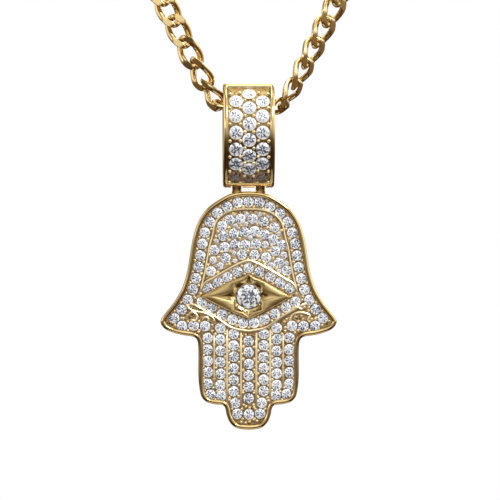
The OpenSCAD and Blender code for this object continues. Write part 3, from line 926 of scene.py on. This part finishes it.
class PENDANT_OT_bail(bpy.types.Operator):
    """Makes the bail's band with its rims, stone field, slots and pin"""
    bl_idname = "pendant.bail"
    bl_label = "Bail"

    def execute(self, context):
        b = settings("pendant_bail")
        half, deep, tall = b.width / MM / 2, b.depth / MM / 2, (b.height / 2 + b.reach) / MM
        wall, rim, recess = b.wall / MM, b.side_rim / MM, b.recess / MM
        edge = half - rim
        # Half section from the middle of the field over the rim to the inside: x, inset, share of the recess
        section = [(0.0, 0.0, 1.0), (edge * 0.35, 0.0, 1.0), (edge * 0.7, 0.0, 1.0), (edge - 0.16, 0.0, 1.0),
                   (edge - 0.05, 0.0, 0.93), (edge, 0.05, 0.5), (edge + 0.05, 0.05, 0.08), (edge + 0.14, 0.015, 0.0),
                   (edge + 0.27, 0.0, 0.0), (edge + 0.40, 0.02, 0.0), (edge + 0.52, 0.07, 0.0),
                   (edge + 0.61, 0.15, 0.0), (edge + 0.67, 0.26, 0.0), (half, 0.40, 0.0),
                   (half, wall - 0.4, 0.0), (half - 0.03, wall - 0.22, 0.0), (half - 0.12, wall - 0.08, 0.0),
                   (half - 0.26, wall - 0.015, 0.0), (half - 0.42, wall, 0.0), (edge * 0.5, wall, 0.0)]
        ring = [(x, i, m) for x, i, m in section] + [(-x, i, m) for x, i, m in reversed(section) if x > 0]
        end = math.degrees(math.asin((tall - b.end_rim / MM) / tall))
        # Degrees beyond the stone field, and the height of the rounded bar that closes it off there
        bar = [(0.5, 0.03), (1.3, 0.09), (2.8, 0.13), (5.0, 0.14), (7.2, 0.12), (9.0, 0.06), (10.2, 0.0)]
        angles = [end * k / 26 for k in range(-26, 27)] + [end + a for a, up in bar]
        back = 360 - 2 * angles[-1]
        angles += [angles[-1] + back * k / 50 for k in range(1, 50)] + [360 - end - a for a, up in reversed(bar)]
        raises = [0.0] * 53 + [up for a, up in bar] + [0.0] * 49 + [up for a, up in reversed(bar)]
        shape = Shape(bail_anchor())
        loops = []
        for index, (a, up) in enumerate(zip(angles, raises)):
            mask = 1.0 if index < 53 else 0.0
            t, points = math.radians(a), []
            for x, i, m in ring:
                sunk = m * mask * recess
                # The bar runs out before the sides of the band, and the inside has none
                lift = up * min(1.0, max(0.0, half - 0.1 - abs(x)) * 4) * (i < wall / 2)
                points.append((x, -(deep - i - sunk + lift) * math.cos(t), (tall - i - sunk + lift) * math.sin(t)))
            loops.append(points)
        rings = shape.skin(loops)
        shape.bridge(rings[-1], rings[0])
        n = len(ring)
        # The stone field takes the bail field, painted darker towards the foot as shade; the walls round it take
        # painted shadow gold; the first row beyond the field takes bead gold with its painted glow; the front rims and
        # the bar take band gold with painted shade by height
        for index in range(len(shape.faces)):
            around, across = divmod(index, n)
            if around < 52 and (across < 4 or across >= n - 4):
                shape.paints[index] = 1
            elif around == 52 and (across < 6 or across >= n - 6):
                shape.paints[index] = 3
            elif (around < 52 or around == len(angles) - 1) and (across < 6 or across >= n - 6):
                shape.paints[index] = 2
            elif around < 60:
                shape.paints[index] = 4
        made = shape.make("bail_band", ["polished_gold", "bail_field", "cut_gold", "bead_gold", "band_gold"])
        slots = []
        h = settings("pendant_hamsa")
        for side in (-1, 1):
            centre = (side * h.lug_spacing / MM / 2, 0, -tall)
            slots.append(box_shape(shape.anchor, centre, (b.slot_width / MM, b.slot_length / MM, 3 * wall))
                         .make("slot", ["polished_gold"]))
        cut(made, slots)
        pin = Shape(bail_anchor())
        level = (b.wall + b.pin_rise - b.height / 2) / MM
        r = b.pin / MM / 2
        turn = [2 * math.pi * j / 28 for j in range(28)]
        rings = pin.skin([[(x, k * r * math.cos(a), level + k * r * math.sin(a)) for a in turn]
                          for x, k in ((-edge, 0.8), (-edge + 0.1, 1.0), (edge - 0.1, 1.0), (edge, 0.8))])
        pin.cap(rings[0])
        pin.cap(rings[-1])
        bar = pin.make("bail_pin", ["polished_gold"])
        settle(made, "bail", "gold", "bail_frame")
        settle(bar, "bail", "gold")
        return {"FINISHED"}


def bail_places():
    """Place and outward direction of each stone on the bail, in metres and as a unit vector."""
    b = settings("pendant_bail")
    spots = [(0.0, s) for s in MIDDLE_ROWS] + [(side * b.column, s) for s in SIDE_ROWS for side in (-1, 1)]
    return [bail_place(x, s) for x, s in spots]


def bail_place(x, share):
    """Place and outward direction on the bail's stone field, at a share of its half height."""
    b = settings("pendant_bail")
    deep, tall = b.depth / 2 - b.recess, b.height / 2 + b.reach - b.recess
    y, z = -deep * math.sqrt(1 - share * share), share * tall
    return bail_anchor() + Vector((x, y, z)), Vector((0, y / deep ** 2, z / tall ** 2)).normalized()


def hamsa_places(charted, rise=0.0):
    """Place and outward direction of charted spots on the hamsa's stone field."""
    h = settings("pendant_hamsa")
    anchor = hamsa_anchor()
    level = -h.thickness / 2 + h.field - rise
    found = []
    for p in charted:
        q = chart(p)
        found.append((anchor + Vector((q.x * MM, level, q.y * MM)), Vector((0, -1, 0))))
    return found


def facing(out):
    """The turn that brings +Z to that direction."""
    return Vector((0, 0, 1)).rotation_difference(out)


# Rings of a stone's facets, as shares of its diameter, and the tones, painted reflections from bright to dark, that
# repeat round each ring
SMALL_RINGS = [0.045, 0.13, 0.22, 0.31, 0.41, 0.5]
SMALL_TONES = [(0.9, 0.3, 0.8, 0.5), (1.2, 0.2, 0.9, 0.5), (0.2, 1.1, 0.2, 0.8), (1.0, 0.1, 0.7, 0.2),
               (0.6, 0.0, 0.4, 0.0), (0.0, 0.7, 0.0, 1.0)]
LARGE_RINGS = [0.035, 0.09, 0.14, 0.19, 0.24, 0.29, 0.34, 0.39, 0.44, 0.5]
LARGE_TONES = [(0.3, 0.9, 0.4, 0.8), (1.1, 0.5, 1.0, 0.7), (0.5, 1.1, 0.3, 0.9), (1.0, 0.4, 0.9, 0.6),
               (0.3, 1.0, 0.2, 0.7), (0.8, 0.1, 0.6, 0.2), (0.1, 0.7, 0.0, 0.5), (0.4, 0.0, 0.3, 0.0),
               (0.0, 0.5, 0.0, 0.8), (0.0, 0.2, 0.0, 0.6)]
BAIL_RINGS = [0.04, 0.13, 0.21, 0.30, 0.40, 0.5]
BAIL_TONES = [(0.6, 0.95, 0.5, 1.0), (1.1, 0.3, 0.9, 0.7), (0.4, 1.0, 0.1, 0.9), (0.9, 0.15, 0.7, 0.2),
              (0.0, 0.6, 0.0, 0.3), (0.0, 0.15, -0.3, 0.0)]


def gem_source(name, radii, patterns, folds):
    """A round brilliant of unit diameter: a white heart, strips of facets out to the girdle, and a pavilion.

    Every facet is a kite that is widest on its ring, with one of that ring's painted reflection tones.
    """
    s = settings("pendant_stones")
    rnd = random.Random(len(radii))
    points, faces, tones = [], [], []
    table = s.table / 2

    def ring(radius, height, offset):
        first = len(points)
        for i in range(folds):
            a = 2 * math.pi * (i + offset) / folds
            points.append((radius * math.cos(a), radius * math.sin(a), height))
        return [first + i for i in range(folds)]

    def face(corners, tone):
        faces.append(corners)
        tones.append(min(1.0, max(0.0, tone)))

    rings = [ring(r, s.crown * min(1.0, (0.5 - r) / (0.5 - table)), 0.5 * (i % 2)) for i, r in enumerate(radii)]
    face(rings[0], 0.0)
    own = []
    for pattern in patterns:
        drawn = []
        while len(drawn) < folds:
            drawn += rnd.sample(pattern, len(pattern))
        own.append([drawn[i] + 0.4 * (rnd.random() - 0.5) for i in range(folds)])
    for strip, (inner, outer) in enumerate(zip(rings, rings[1:])):
        for i in range(folds):
            j = (i + 1) % folds
            if strip % 2:
                face((inner[i], outer[j], inner[j]), own[strip][i])
                face((inner[i], outer[i], outer[j]), own[strip + 1][i])
            else:
                face((inner[i], outer[i], inner[j]), own[strip][i])
                face((outer[i], outer[j], inner[j]), own[strip + 1][i])
    girdle = rings[-1]
    foot = ring(0.5, -0.05, 0.5 * ((len(radii) - 1) % 2))
    culet = len(points)
    points.append((0, 0, -s.pavilion))
    for i in range(folds):
        j = (i + 1) % folds
        face((girdle[i], foot[i], foot[j], girdle[j]), 0.5)
        face((foot[i], culet, foot[j]), 0.8)
    mesh = bpy.data.meshes.new(name)
    mesh.from_pydata(points, [], faces)
    attribute = mesh.attributes.new("facet", "FLOAT", "FACE")
    attribute.data.foreach_set("value", tones)
    made = bpy.data.objects.new(name, mesh)
    bpy.context.scene.collection.objects.link(made)
    return made


def set_stones(name, found, diameter, body, paint, replaced=(), tone_of=None,
               radii=SMALL_RINGS, patterns=SMALL_TONES, folds=16, sizes=None):
    """Sets a cut stone at each place, each with its own turn, tilt and tone."""
    s = settings("pendant_stones")
    rnd = random.Random(s.seed + len(found))
    source = gem_source("gem_" + name, radii, patterns, folds)
    tones = [tone_of(p) if tone_of else 0.1 + 0.55 * rnd.random() for p, out in found]
    points = carrier([p for p, out in found], [facing(out) for p, out in found], tones, sizes)
    made = copy_tree("set_" + name).run(points, name, Shape=source, Size=diameter, Seed=s.seed,
                                        Tilt=0.045, Material=paint_of(paint))
    bpy.data.objects.remove(source)
    settle(made, body, "stone", *replaced)


def grain_spots(found, diameter, extra=()):
    """Places for grains: beside the touch of each two neighbours, merged where several meet."""
    raw = []
    for i, (p, out) in enumerate(found):
        for q, other in found[i + 1:]:
            gap = q - p
            if gap.length > diameter * 1.42:
                continue
            across = gap.cross((out + other).normalized()).normalized()
            for side in (-1, 1):
                raw.append(((p + q) / 2 + across * side * diameter * 0.40, (out + other).normalized()))
    raw.extend(extra)
    kept = []
    for p, out in raw:
        for item in kept:
            if (item[0] - p).length < diameter * 0.30:
                item[2] += 1
                item[0] += (p - item[0]) / item[2]
                break
        else:
            kept.append([p.copy(), out, 1])
    return [(p, out) for p, out, n in kept
            if all((p - q).length > diameter * 0.515 for q, other in found)]


def set_grains(name, found, radius, body, level):
    """Sets a small rounded grain of gold at each place, level above the field."""
    mesh = bpy.data.meshes.new("grain")
    work = bmesh.new()
    bmesh.ops.create_icosphere(work, subdivisions=2, radius=1.0)
    for face in work.faces:
        face.smooth = True
    work.to_mesh(mesh)
    work.free()
    source = bpy.data.objects.new("grain", mesh)
    bpy.context.scene.collection.objects.link(source)
    rnd = random.Random(11)
    places = [p + out * level for p, out in found]
    sizes = [0.88 + 0.24 * rnd.random() for p in places]
    points = carrier(places, [facing(out) for p, out in found], sizes=sizes)
    made = copy_tree("set_" + name).run(points, name, Shape=source, Size=radius, Seed=5, Tilt=0.0,
                                        Material=paint_of("bead_gold"))
    bpy.data.objects.remove(source)
    settle(made, body, "gold")


def set_seat_shadows(name, found, diameter, body, level, sizes=None):
    """Sets a dark disc under each stone, a painted shadow round the edge of its seat."""
    mesh = bpy.data.meshes.new("seat")
    work = bmesh.new()
    bmesh.ops.create_cone(work, cap_ends=True, segments=20, radius1=0.53, radius2=0.53, depth=0.1)
    work.to_mesh(mesh)
    work.free()
    source = bpy.data.objects.new("seat", mesh)
    bpy.context.scene.collection.objects.link(source)
    places = [p + out * (level - diameter * 0.05) for p, out in found]
    points = carrier(places, [facing(out) for p, out in found], sizes=sizes)
    made = copy_tree("set_" + name).run(points, name, Shape=source, Size=diameter, Seed=5, Tilt=0.0,
                                        Material=paint_of("cut_gold"))
    bpy.data.objects.remove(source)
    settle(made, body, "gold")


class PENDANT_OT_bail_stones(bpy.types.Operator):
    """Sets the bail's stones and the grains between them"""
    bl_idname = "pendant.bail_stones"
    bl_label = "Bail stones"

    def tone(self, rise):
        """Painted shade: darker from the top of the bail to its foot, and brown in the last row, which faces the
        ground.
        """
        return 0.97 if rise < -0.72 else max(0.0, min(0.88, 0.42 - 1.0 * rise))

    def execute(self, context):
        b, h = settings("pendant_bail"), settings("pendant_hamsa")
        found = bail_places()
        anchor = bail_anchor()
        set_stones("bail_gems", found, b.stone, "bail", "clear_stone", ["bail_stones"],
                   lambda p: self.tone((p.z - anchor.z) / b.height * 2), BAIL_RINGS, BAIL_TONES)
        # Dark discs under the stones: painted shadow
        set_seat_shadows("bail_seats", found, b.stone, "bail", 0.00002)
        edge = b.width / 2 - b.side_rim - h.grain * 0.9
        extra = []
        for p, out in found:
            if abs(p.x - anchor.x) > b.column * 0.5:
                side = 1 if p.x > anchor.x else -1
                for up in (-1, 1):
                    along = out.cross(Vector((1, 0, 0)))
                    spot = p + along * up * b.stone * 0.46
                    spot.x = anchor.x + side * edge
                    extra.append((spot, out))
        extra += [bail_place(side * x * b.column, share) for x, share in TOP_BEADS for side in (-1, 1)]
        set_grains("bail_grains", grain_spots(found, b.stone, extra), h.grain * 1.25, "bail", 0.00015)
        return {"FINISHED"}


def inset_loop(points, distance):
    """A closed loop moved inwards by a distance."""
    n = len(points)
    moved = []
    for i in range(n):
        d = (points[(i + 1) % n] - points[i - 1]).normalized()
        moved.append(points[i] + distance * Vector((d.y, -d.x)))
    return moved


def upright(points, y):
    """Points of the chart's plane, stood up at a depth."""
    return [Vector((p.x, y, p.y)) for p in points]


def hamsa_outline():
    half = [chart(p) for p in HALF_OUTLINE]
    return closed_curve(half + [Vector((-p.x, p.y)) for p in reversed(half) if p.x > 0.001], 6)


def ridge_lines():
    """Every ridge of the hamsa: its line, its share of the full width, and the cut beside it."""
    found = []
    for line, share in ((ARCH_LINE, 0.7), (BROW_LINE, 1.15), (LID_LINE, 0.95)):
        right = open_curve([chart(p) for p in line], 5)
        found.append((right + [Vector((-p.x, p.y)) for p in reversed(right[:-1])], share, 0.15))
    for uprights, share in ((FINGER_RIDGES, 0.85), (THIN_RIDGES, 0.6)):
        for x, top, foot in uprights:
            for side in (-1, 1):
                a, z = chart((side * x, top)), chart((side * x, foot))
                found.append(([a.lerp(z, k / 12) for k in range(13)], share, 0.12))
    found += [(open_curve([chart(p) for p in line], 5), 1.0, 0.1) for line in SCROLLS]
    return found


def ridge_shape(shape, line, width, base, height, cut=0.0):
    """A ridge with a low roof along an open line, in bead gold with its painted glow, in a shallow cut painted dark as
    shadow.
    """
    n = len(line)
    profile = [(-0.5, 0.0), (-0.5, 0.70), (-0.42, 0.87), (0.0, 1.0), (0.42, 0.87), (0.5, 0.70), (0.5, 0.0)]
    loops, beds = [], []
    for i, p in enumerate(line):
        d = (line[min(i + 1, n - 1)] - line[max(i - 1, 0)]).normalized()
        side = Vector((d.y, -d.x))
        ease = min(1.0, 0.35 + 0.65 * min(i, n - 1 - i) / 2.0)
        loops.append([Vector((p.x + side.x * w * width, base - u * height * ease, p.y + side.y * w * width))
                      for w, u in profile])
        wide = width / 2 + cut * ease
        beds.append([Vector((p.x + side.x * w, base - h, p.y + side.y * w))
                     for w, h in ((-wide, 0.0), (-wide + 0.01, 0.07), (wide - 0.01, 0.07), (wide, 0.0))])
    for rows, paint in ((loops, 3), (beds, 4)) if cut else ((loops, 3),):
        rings = shape.skin(rows, paint)
        shape.face(rings[0], paint)
        shape.face(rings[-1], paint)


class PENDANT_OT_hamsa(bpy.types.Operator):
    """Makes the hamsa's plate with its rim, ridges, eye plate and lugs"""
    bl_idname = "pendant.hamsa"
    bl_label = "Hamsa"

    def execute(self, context):
        h = settings("pendant_hamsa")
        thick, rim, field = h.thickness / MM / 2, h.rim / MM, h.field / MM
        floor = -thick + field
        outline = hamsa_outline()
        steps = [(0.45, thick), (0.22, thick - 0.03), (0.08, thick - 0.12), (0.0, thick - 0.30),
                 (0.0, -thick + 0.42), (0.03, -thick + 0.24), (0.10, -thick + 0.11), (0.20, -thick + 0.03),
                 (rim * 0.5, -thick), (rim * 0.68, -thick + 0.03), (rim * 0.84, -thick + 0.12),
                 (rim * 0.95, -thick + 0.28), (rim, floor)]
        shape = Shape(hamsa_anchor())
        rings = [shape.loop(upright(inset_loop(outline, d), y)) for d, y in steps]
        # The side and front of the rim take rim gold with painted shade by height and side; its inner wall down to the
        # field takes painted shadow gold
        for i, (a, b) in enumerate(zip(rings, rings[1:])):
            shape.bridge(a, b, 4 if i > len(steps) - 4 else 5 if i > 3 else 0)
        shape.cap(rings[0])
        shape.cap(rings[-1], 1)
        ridge, high = h.ridge / MM, h.ridge_height / MM
        for line, share, cut in ridge_lines():
            ridge_shape(shape, line, ridge * share, floor + 0.05, high + 0.05, cut)
        self.eye(shape, floor, h)
        body = shape.make("hamsa_body", ["polished_gold", "palm_field", "satin_gold", "bead_gold", "cut_gold",
                                         "rim_gold"], PLATE_ROUND_EDGE)
        settle(body, "hamsa", "gold", "hamsa_frame")
        lugs = Shape(hamsa_anchor())
        for side in (-1, 1):
            self.lug(lugs, side * h.lug_spacing / MM / 2, h)
        settle(lugs.make("hamsa_lugs", ["polished_gold"]), "hamsa", "gold")
        return {"FINISHED"}

    def diamond(self, corner):
        """A closed loop round the eye from the chart of one corner."""
        skew = settings("pendant_hamsa").skew
        upper = [chart((x, EYE_LEVEL - y)) for x, y in corner]
        lower = [chart((x, EYE_LEVEL + y)) for x, y in reversed(corner) if y > 0]
        right = upper + lower
        left = [Vector((-p.x * (1 + skew), p.y)) for p in reversed(right) if p.x > 0.001]
        return [Vector((p.x * (1 - skew), p.y)) for p in right] + left

    def eye(self, shape, floor, h):
        """A raised plate of four brushed petals round a star cut down to the stone."""
        high, star = h.plate / MM, h.star / MM
        outer, lip, base = self.diamond(EYE_CORNER), self.diamond(STAR_CORNER), self.diamond(STAR_FLOOR)
        middle = chart((0, EYE_LEVEL))
        top = floor - high
        radius = h.eye_stone / MM / 2

        def round_hole(r):
            return [middle + (p - middle).normalized() * r for p in base]

        # Depth of the cut all round, from the chart of one corner
        side = STAR_DEPTHS + STAR_DEPTHS[-2::-1]
        depths = side + side[-2:0:-1]
        floor_ring = [Vector((p.x, top + star * d, p.y)) for p, d in zip(base, depths)]
        # The plate's outer wall takes painted shadow gold: a dark outline as painted shadow under the plate
        wall = shape.skin([upright(inset_loop(outer, -0.22), floor + 0.05),
                           upright(inset_loop(outer, -0.16), floor - 0.06),
                           upright(outer, top + 0.30)], 4)
        petals = [wall[-1]] + [shape.loop(upright([p.lerp(q, t) for p, q in zip(outer, lip)], top + drop))
                               for t, drop in PETAL_ROWS]
        for i, (a, b) in enumerate(zip(petals, petals[1:])):
            shape.bridge(a, b, 2 if i > 1 else 0)
        cut = [petals[-1], shape.loop(upright(lip, top + 0.15)), shape.loop(floor_ring),
               shape.loop(upright(round_hole(radius * 1.03), top + star + 0.14)),
               shape.loop(upright(round_hole(radius * 0.93), top + star + 0.3))]
        # The ring round the stone and the floor under it take painted shadow gold
        for i, (a, b) in enumerate(zip(cut, cut[1:])):
            shape.bridge(a, b, 4 if i > 2 else 0)
        shape.cap(cut[-1], 4)
        shape.cap(wall[0], 4)

    def lug(self, shape, x, h):
        """An ear round the bail's pin on a neck that runs into the rim."""
        b = settings("pendant_bail")
        rise = (b.wall + b.pin_rise + h.hang_gap) / MM
        hole = b.pin / MM / 2 + h.pin_gap / MM
        outer, neck, half = hole + h.lug_wall / MM, h.lug_neck / MM / 2, h.lug_width / MM / 2
        foot = rise + h.rim / MM
        # Directions round the pin, closer together towards the foot
        turns = [math.radians(a) for a in (0, 3, 6, 9, 12, 15, 19, 24, 30, 40, 52, 66, 80, 95, 110, 125, 140, 155,
                                           170, 185, 200, 215, 230, 245, 260, 275, 288, 301, 314, 326, 335,
                                           341, 345, 348, 351, 354, 357)]

        def outline(inset):
            points = []
            for a in turns:
                away = abs(math.sin(a))
                r = outer
                if math.cos(a) > 0:
                    # The neck narrows from the ear to its foot
                    slim = (neck + 0.3 * rise) / (away + 0.3 * math.cos(a))
                    r = max(outer, min(slim, foot / math.cos(a)))
                r -= inset
                y, z = r * math.sin(a), rise - r * math.cos(a)
                flare = min(1.0, max(0.0, 0.25 - z) / 0.25)
                points.append((y * (1 + 0.2 * flare * flare), z, flare))
            return points

        loops = []
        for across, inset in ((-half, 0.10), (-half + 0.10, 0.0), (half - 0.10, 0.0), (half, 0.10)):
            loops.append([Vector((x + across * (1 + 0.12 * f * f), y, z)) for y, z, f in outline(inset)])
        rings = shape.skin(loops)
        bores = shape.skin([[Vector((x + across, hole * k * math.sin(a), rise - hole * k * math.cos(a)))
                             for a in turns]
                            for across, k in ((-half, 1.1), (-half + 0.08, 1.0), (half - 0.08, 1.0), (half, 1.1))])
        shape.bridge(rings[0], bores[0])
        shape.bridge(rings[-1], bores[-1])


def in_eye(p, room):
    """Whether a place on the hamsa lies on the eye plate or closer to it than that room."""
    tip, top = chart((EYE_CORNER[-1][0], EYE_LEVEL)), chart((0, EYE_LEVEL - EYE_CORNER[0][1]))
    wide, tall = tip.x * 1.1 + room, top.y - tip.y + room
    return abs(p.x) / wide + abs(p.y - tip.y) / tall < 1.08


def finger_places():
    charted = [(x, top + i * FINGER_ROW) for x, top, n in FINGER_COLUMNS for i in range(n)]
    return charted + FINGER_ENDS


class PENDANT_OT_hamsa_stones(bpy.types.Operator):
    """Sets the hamsa's stones and the grains between them"""
    bl_idname = "pendant.hamsa_stones"
    bl_label = "Hamsa stones"

    def loose_spots(self, around, stones, radius, h, tries=20):
        """Places round some stones for small things of that radius, clear of all stones, ridges, eye and rim."""
        anchor = hamsa_anchor()
        level = stones[0][0].y
        fence = [(p, (h.ridge / 2 + radius) / MM) for line, share, cut in ridge_lines() for p in line]
        fence += [(p, (h.rim + radius) / MM) for p in hamsa_outline()]
        rnd = random.Random(5)
        kept = []
        for p, out in around:
            for k in range(tries):
                a = 2 * math.pi * rnd.random()
                reach = h.stone / 2 + radius * (1.0 + 1.2 * (k % 4))
                spot = Vector((p.x + reach * math.cos(a), level, p.z + reach * math.sin(a)))
                flat = Vector(((spot.x - anchor.x) / MM, (spot.z - anchor.z) / MM))
                if (all((spot - q).length > h.stone / 2 + radius * 0.92 for q, o in stones)
                        and all((spot - q).length > radius * 2.3 for q, o in kept)
                        and all((flat - q).length > room for q, room in fence)
                        and not in_eye(flat, radius / MM)):
                    kept.append((spot, out))
        return kept

    def execute(self, context):
        h = settings("pendant_hamsa")
        rim = hamsa_places(both_sides(RIM_CHART))
        fingers = hamsa_places(both_sides(finger_places()))
        palm = hamsa_places(PALM_CHART)
        lids = hamsa_places(both_sides(BROW_CHART) + both_sides(LID_CHART))
        set_stones("rim_gems", rim, h.stone, "hamsa", "small_stone", ["rim_stones"])
        set_stones("finger_gems", fingers, h.stone, "hamsa", "small_stone", ["finger_stones"])
        accents = hamsa_places(PALM_ACCENTS)
        sizes = [PALM_SHARE] * len(palm) + [ACCENT_SHARE] * len(accents) + [1.0] * len(lids)
        palm += accents
        chips = self.loose_spots(palm, rim + palm + lids, h.stone * CHIP_SHARE / 2, h, 160)
        set_stones("palm_gems", palm + lids, h.stone, "hamsa", "small_stone", sizes=sizes)
        set_stones("palm_chips", chips, h.stone * CHIP_SHARE, "hamsa", "small_stone")
        eye = hamsa_places([(0, EYE_LEVEL)], h.plate - h.star)
        set_stones("eye_gem", eye, h.eye_stone, "hamsa", "eye_crystal", ["eye_stone"], lambda p: 0.64,
                   LARGE_RINGS, LARGE_TONES, 20)
        everything = rim + fingers + palm + lids
        # Dark discs under the stones: painted shadow
        set_seat_shadows("hamsa_seats", everything, h.stone, "hamsa", 0.00002, [1.06] * len(rim + fingers) + sizes)
        spots = []
        for group in (rim, fingers, palm, lids):
            spots += grain_spots(group, h.stone)
        spots += self.loose_spots(everything, everything, h.grain, h)
        clear = [(p, out) for p, out in spots if all((p - q).length > h.stone * 0.5 for q, o in everything)
                 and all((p - q).length > h.stone * CHIP_SHARE * 0.75 for q, o in chips)]
        set_grains("hamsa_grains", clear, h.grain, "hamsa", 0.00010)
        return {"FINISHED"}


class PENDANT_OT_stage(bpy.types.Operator):
    """Makes the floor, the studio light and the camera"""
    bl_idname = "pendant.stage"
    bl_label = "Stage"

    def execute(self, context):
        st = settings("pendant_stage")
        scene = bpy.context.scene
        top = hamsa_anchor()
        low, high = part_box("hamsa_frame")
        level = (low[2] - st.floor) / MM
        shape = Shape((0, 0, 0))
        turn = [2 * math.pi * i / 96 for i in range(96)]
        rings = shape.skin([[(r * math.cos(a), -80 + r * math.sin(a), z) for a in turn]
                            for r, z in ((230, level), (228, level + 2), (223, level + 3))])
        shape.cap(rings[-1])
        shape.cap(rings[0])
        floor = shape.make("studio_floor", ["studio_floor"])
        self.world(scene)
        middle = top + Vector((st.shift, 0, -st.drop))
        self.light("key_light", middle + Vector((0.33, -0.55, 0.5)), middle, 0.22, 2.35, (0.98, 0.99, 1.0))
        self.light("side_light", middle + Vector((-0.55, -0.45, 0.2)), middle, 0.16, 0.2, (0.98, 0.99, 1.0))
        self.light("top_light", middle + Vector((0.0, -0.05, 0.7)), middle, 0.4, 0.65, (1.0, 1.0, 1.0))
        self.light("back_light", middle + Vector((0.2, 0.7, 0.3)), middle, 0.4, 0.8, (0.98, 0.99, 1.0))
        lens = bpy.data.cameras.new("camera")
        camera = bpy.data.objects.new("camera", lens)
        scene.collection.objects.link(camera)
        away = Vector((math.sin(st.side_step), -math.cos(st.side_step), 0)) * st.distance
        camera.location = middle + away
        camera.rotation_euler = (middle - camera.location).to_track_quat("-Z", "Y").to_euler()
        lens.sensor_width = 36.0
        lens.lens = 36.0 * st.distance / st.frame_width
        lens.clip_start = 0.01
        lens.clip_end = 20.0
        lens.dof.use_dof = False
        scene.camera = camera
        scene.view_settings.view_transform = "Standard"
        scene.view_settings.look = "None"
        return {"FINISHED"}

    def light(self, name, place, target, width, power, colour):
        data = bpy.data.lights.new(name, "AREA")
        data.shape = "DISK"
        data.size = width
        data.energy = power
        data.color = colour
        lamp = bpy.data.objects.new(name, data)
        lamp.location = place
        lamp.rotation_euler = (target - place).to_track_quat("-Z", "Y").to_euler()
        bpy.context.scene.collection.objects.link(lamp)

    def world(self, scene):
        """White behind the pendant, and a studio of bright and dark panels in its reflections."""
        world = bpy.data.worlds.new("studio")
        world.use_nodes = True
        sky = Shading(world.node_tree)
        split = sky.node("ShaderNodeSeparateXYZ", {}, {0: sky.node("ShaderNodeTexCoord", output=0)})
        outputs = split.socket.node.outputs
        across, up = Value(sky, outputs[0]), Value(sky, outputs[2])
        height = sky.ramp(up * 0.5 + 0.5, (0.0, (0.13, 0.092, 0.055)), (0.32, (0.12, 0.08, 0.044)),
                          (0.45, (0.20, 0.165, 0.125)), (0.50, (0.46, 0.445, 0.42)), (0.58, (0.74, 0.74, 0.74)),
                          (0.70, (0.88, 0.89, 0.91)), (0.76, (0.97, 0.99, 1.0)), (1.0, (0.80, 0.82, 0.85)))
        sides = sky.ramp(across * 0.5 + 0.5, (0.0, (0.66, 0.66, 0.67)), (0.12, (0.72, 0.72, 0.73)),
                         (0.18, (0.14, 0.11, 0.08)), (0.33, (0.24, 0.20, 0.15)), (0.42, (0.70, 0.70, 0.70)),
                         (0.58, (0.70, 0.70, 0.70)), (0.66, (0.22, 0.18, 0.13)), (0.79, (0.16, 0.13, 0.09)),
                         (0.85, (0.84, 0.85, 0.86)), (1.0, (0.82, 0.83, 0.84)))
        glow = sky.node("ShaderNodeMix", {"data_type": "RGBA", "blend_type": "MULTIPLY"},
                        {0: 1.0, 6: height, 7: sides}, output=2)
        studio = sky.node("ShaderNodeBackground", {}, {"Color": glow, "Strength": 2.05})
        white = sky.node("ShaderNodeBackground", {}, {"Color": (1.0, 1.0, 1.0), "Strength": 1.0})
        seen = sky.node("ShaderNodeLightPath")
        both = sky.node("ShaderNodeMixShader", {}, {0: seen, 1: studio, 2: white})
        sky.node("ShaderNodeOutputWorld", {}, {0: both})
        scene.world = world


class PENDANT_PT_panel(bpy.types.Panel):
    """Lists the pendant's pieces and their sizes"""
    bl_idname = "PENDANT_PT_panel"
    bl_label = "Hamsa pendant"
    bl_space_type = "VIEW_3D"
    bl_region_type = "UI"
    bl_category = "Pendant"

    def draw(self, context):
        for operator in OPERATORS:
            self.layout.operator(operator.bl_idname)
        for name, group in GROUPS.items():
            box = self.layout.box()
            box.label(text=group.__doc__)
            for key in group.__annotations__:
                box.prop(getattr(context.scene, name), key)


GROUPS = {"pendant_chain": ChainSettings, "pendant_bail": BailSettings, "pendant_hamsa": HamsaSettings,
          "pendant_stones": StoneSettings, "pendant_gold": GoldSettings, "pendant_stage": StageSettings}
OPERATORS = [PENDANT_OT_chain, PENDANT_OT_clasp, PENDANT_OT_bail, PENDANT_OT_bail_stones,
             PENDANT_OT_hamsa, PENDANT_OT_hamsa_stones, PENDANT_OT_stage]


def register():
    for group in GROUPS.values():
        bpy.utils.register_class(group)
    for operator in OPERATORS:
        bpy.utils.register_class(operator)
    bpy.utils.register_class(PENDANT_PT_panel)
    for name, group in GROUPS.items():
        setattr(bpy.types.Scene, name, PointerProperty(type=group))


def unregister():
    for name in GROUPS:
        delattr(bpy.types.Scene, name)
    bpy.utils.unregister_class(PENDANT_PT_panel)
    for operator in reversed(OPERATORS):
        bpy.utils.unregister_class(operator)
    for group in reversed(list(GROUPS.values())):
        bpy.utils.unregister_class(group)


def main():
    register()
    bpy.ops.pendant.chain()
    bpy.ops.pendant.clasp()
    bpy.ops.pendant.bail()
    bpy.ops.pendant.bail_stones()
    bpy.ops.pendant.hamsa()
    bpy.ops.pendant.hamsa_stones()
    bpy.ops.pendant.stage()


if __name__ == "__main__":
    main()
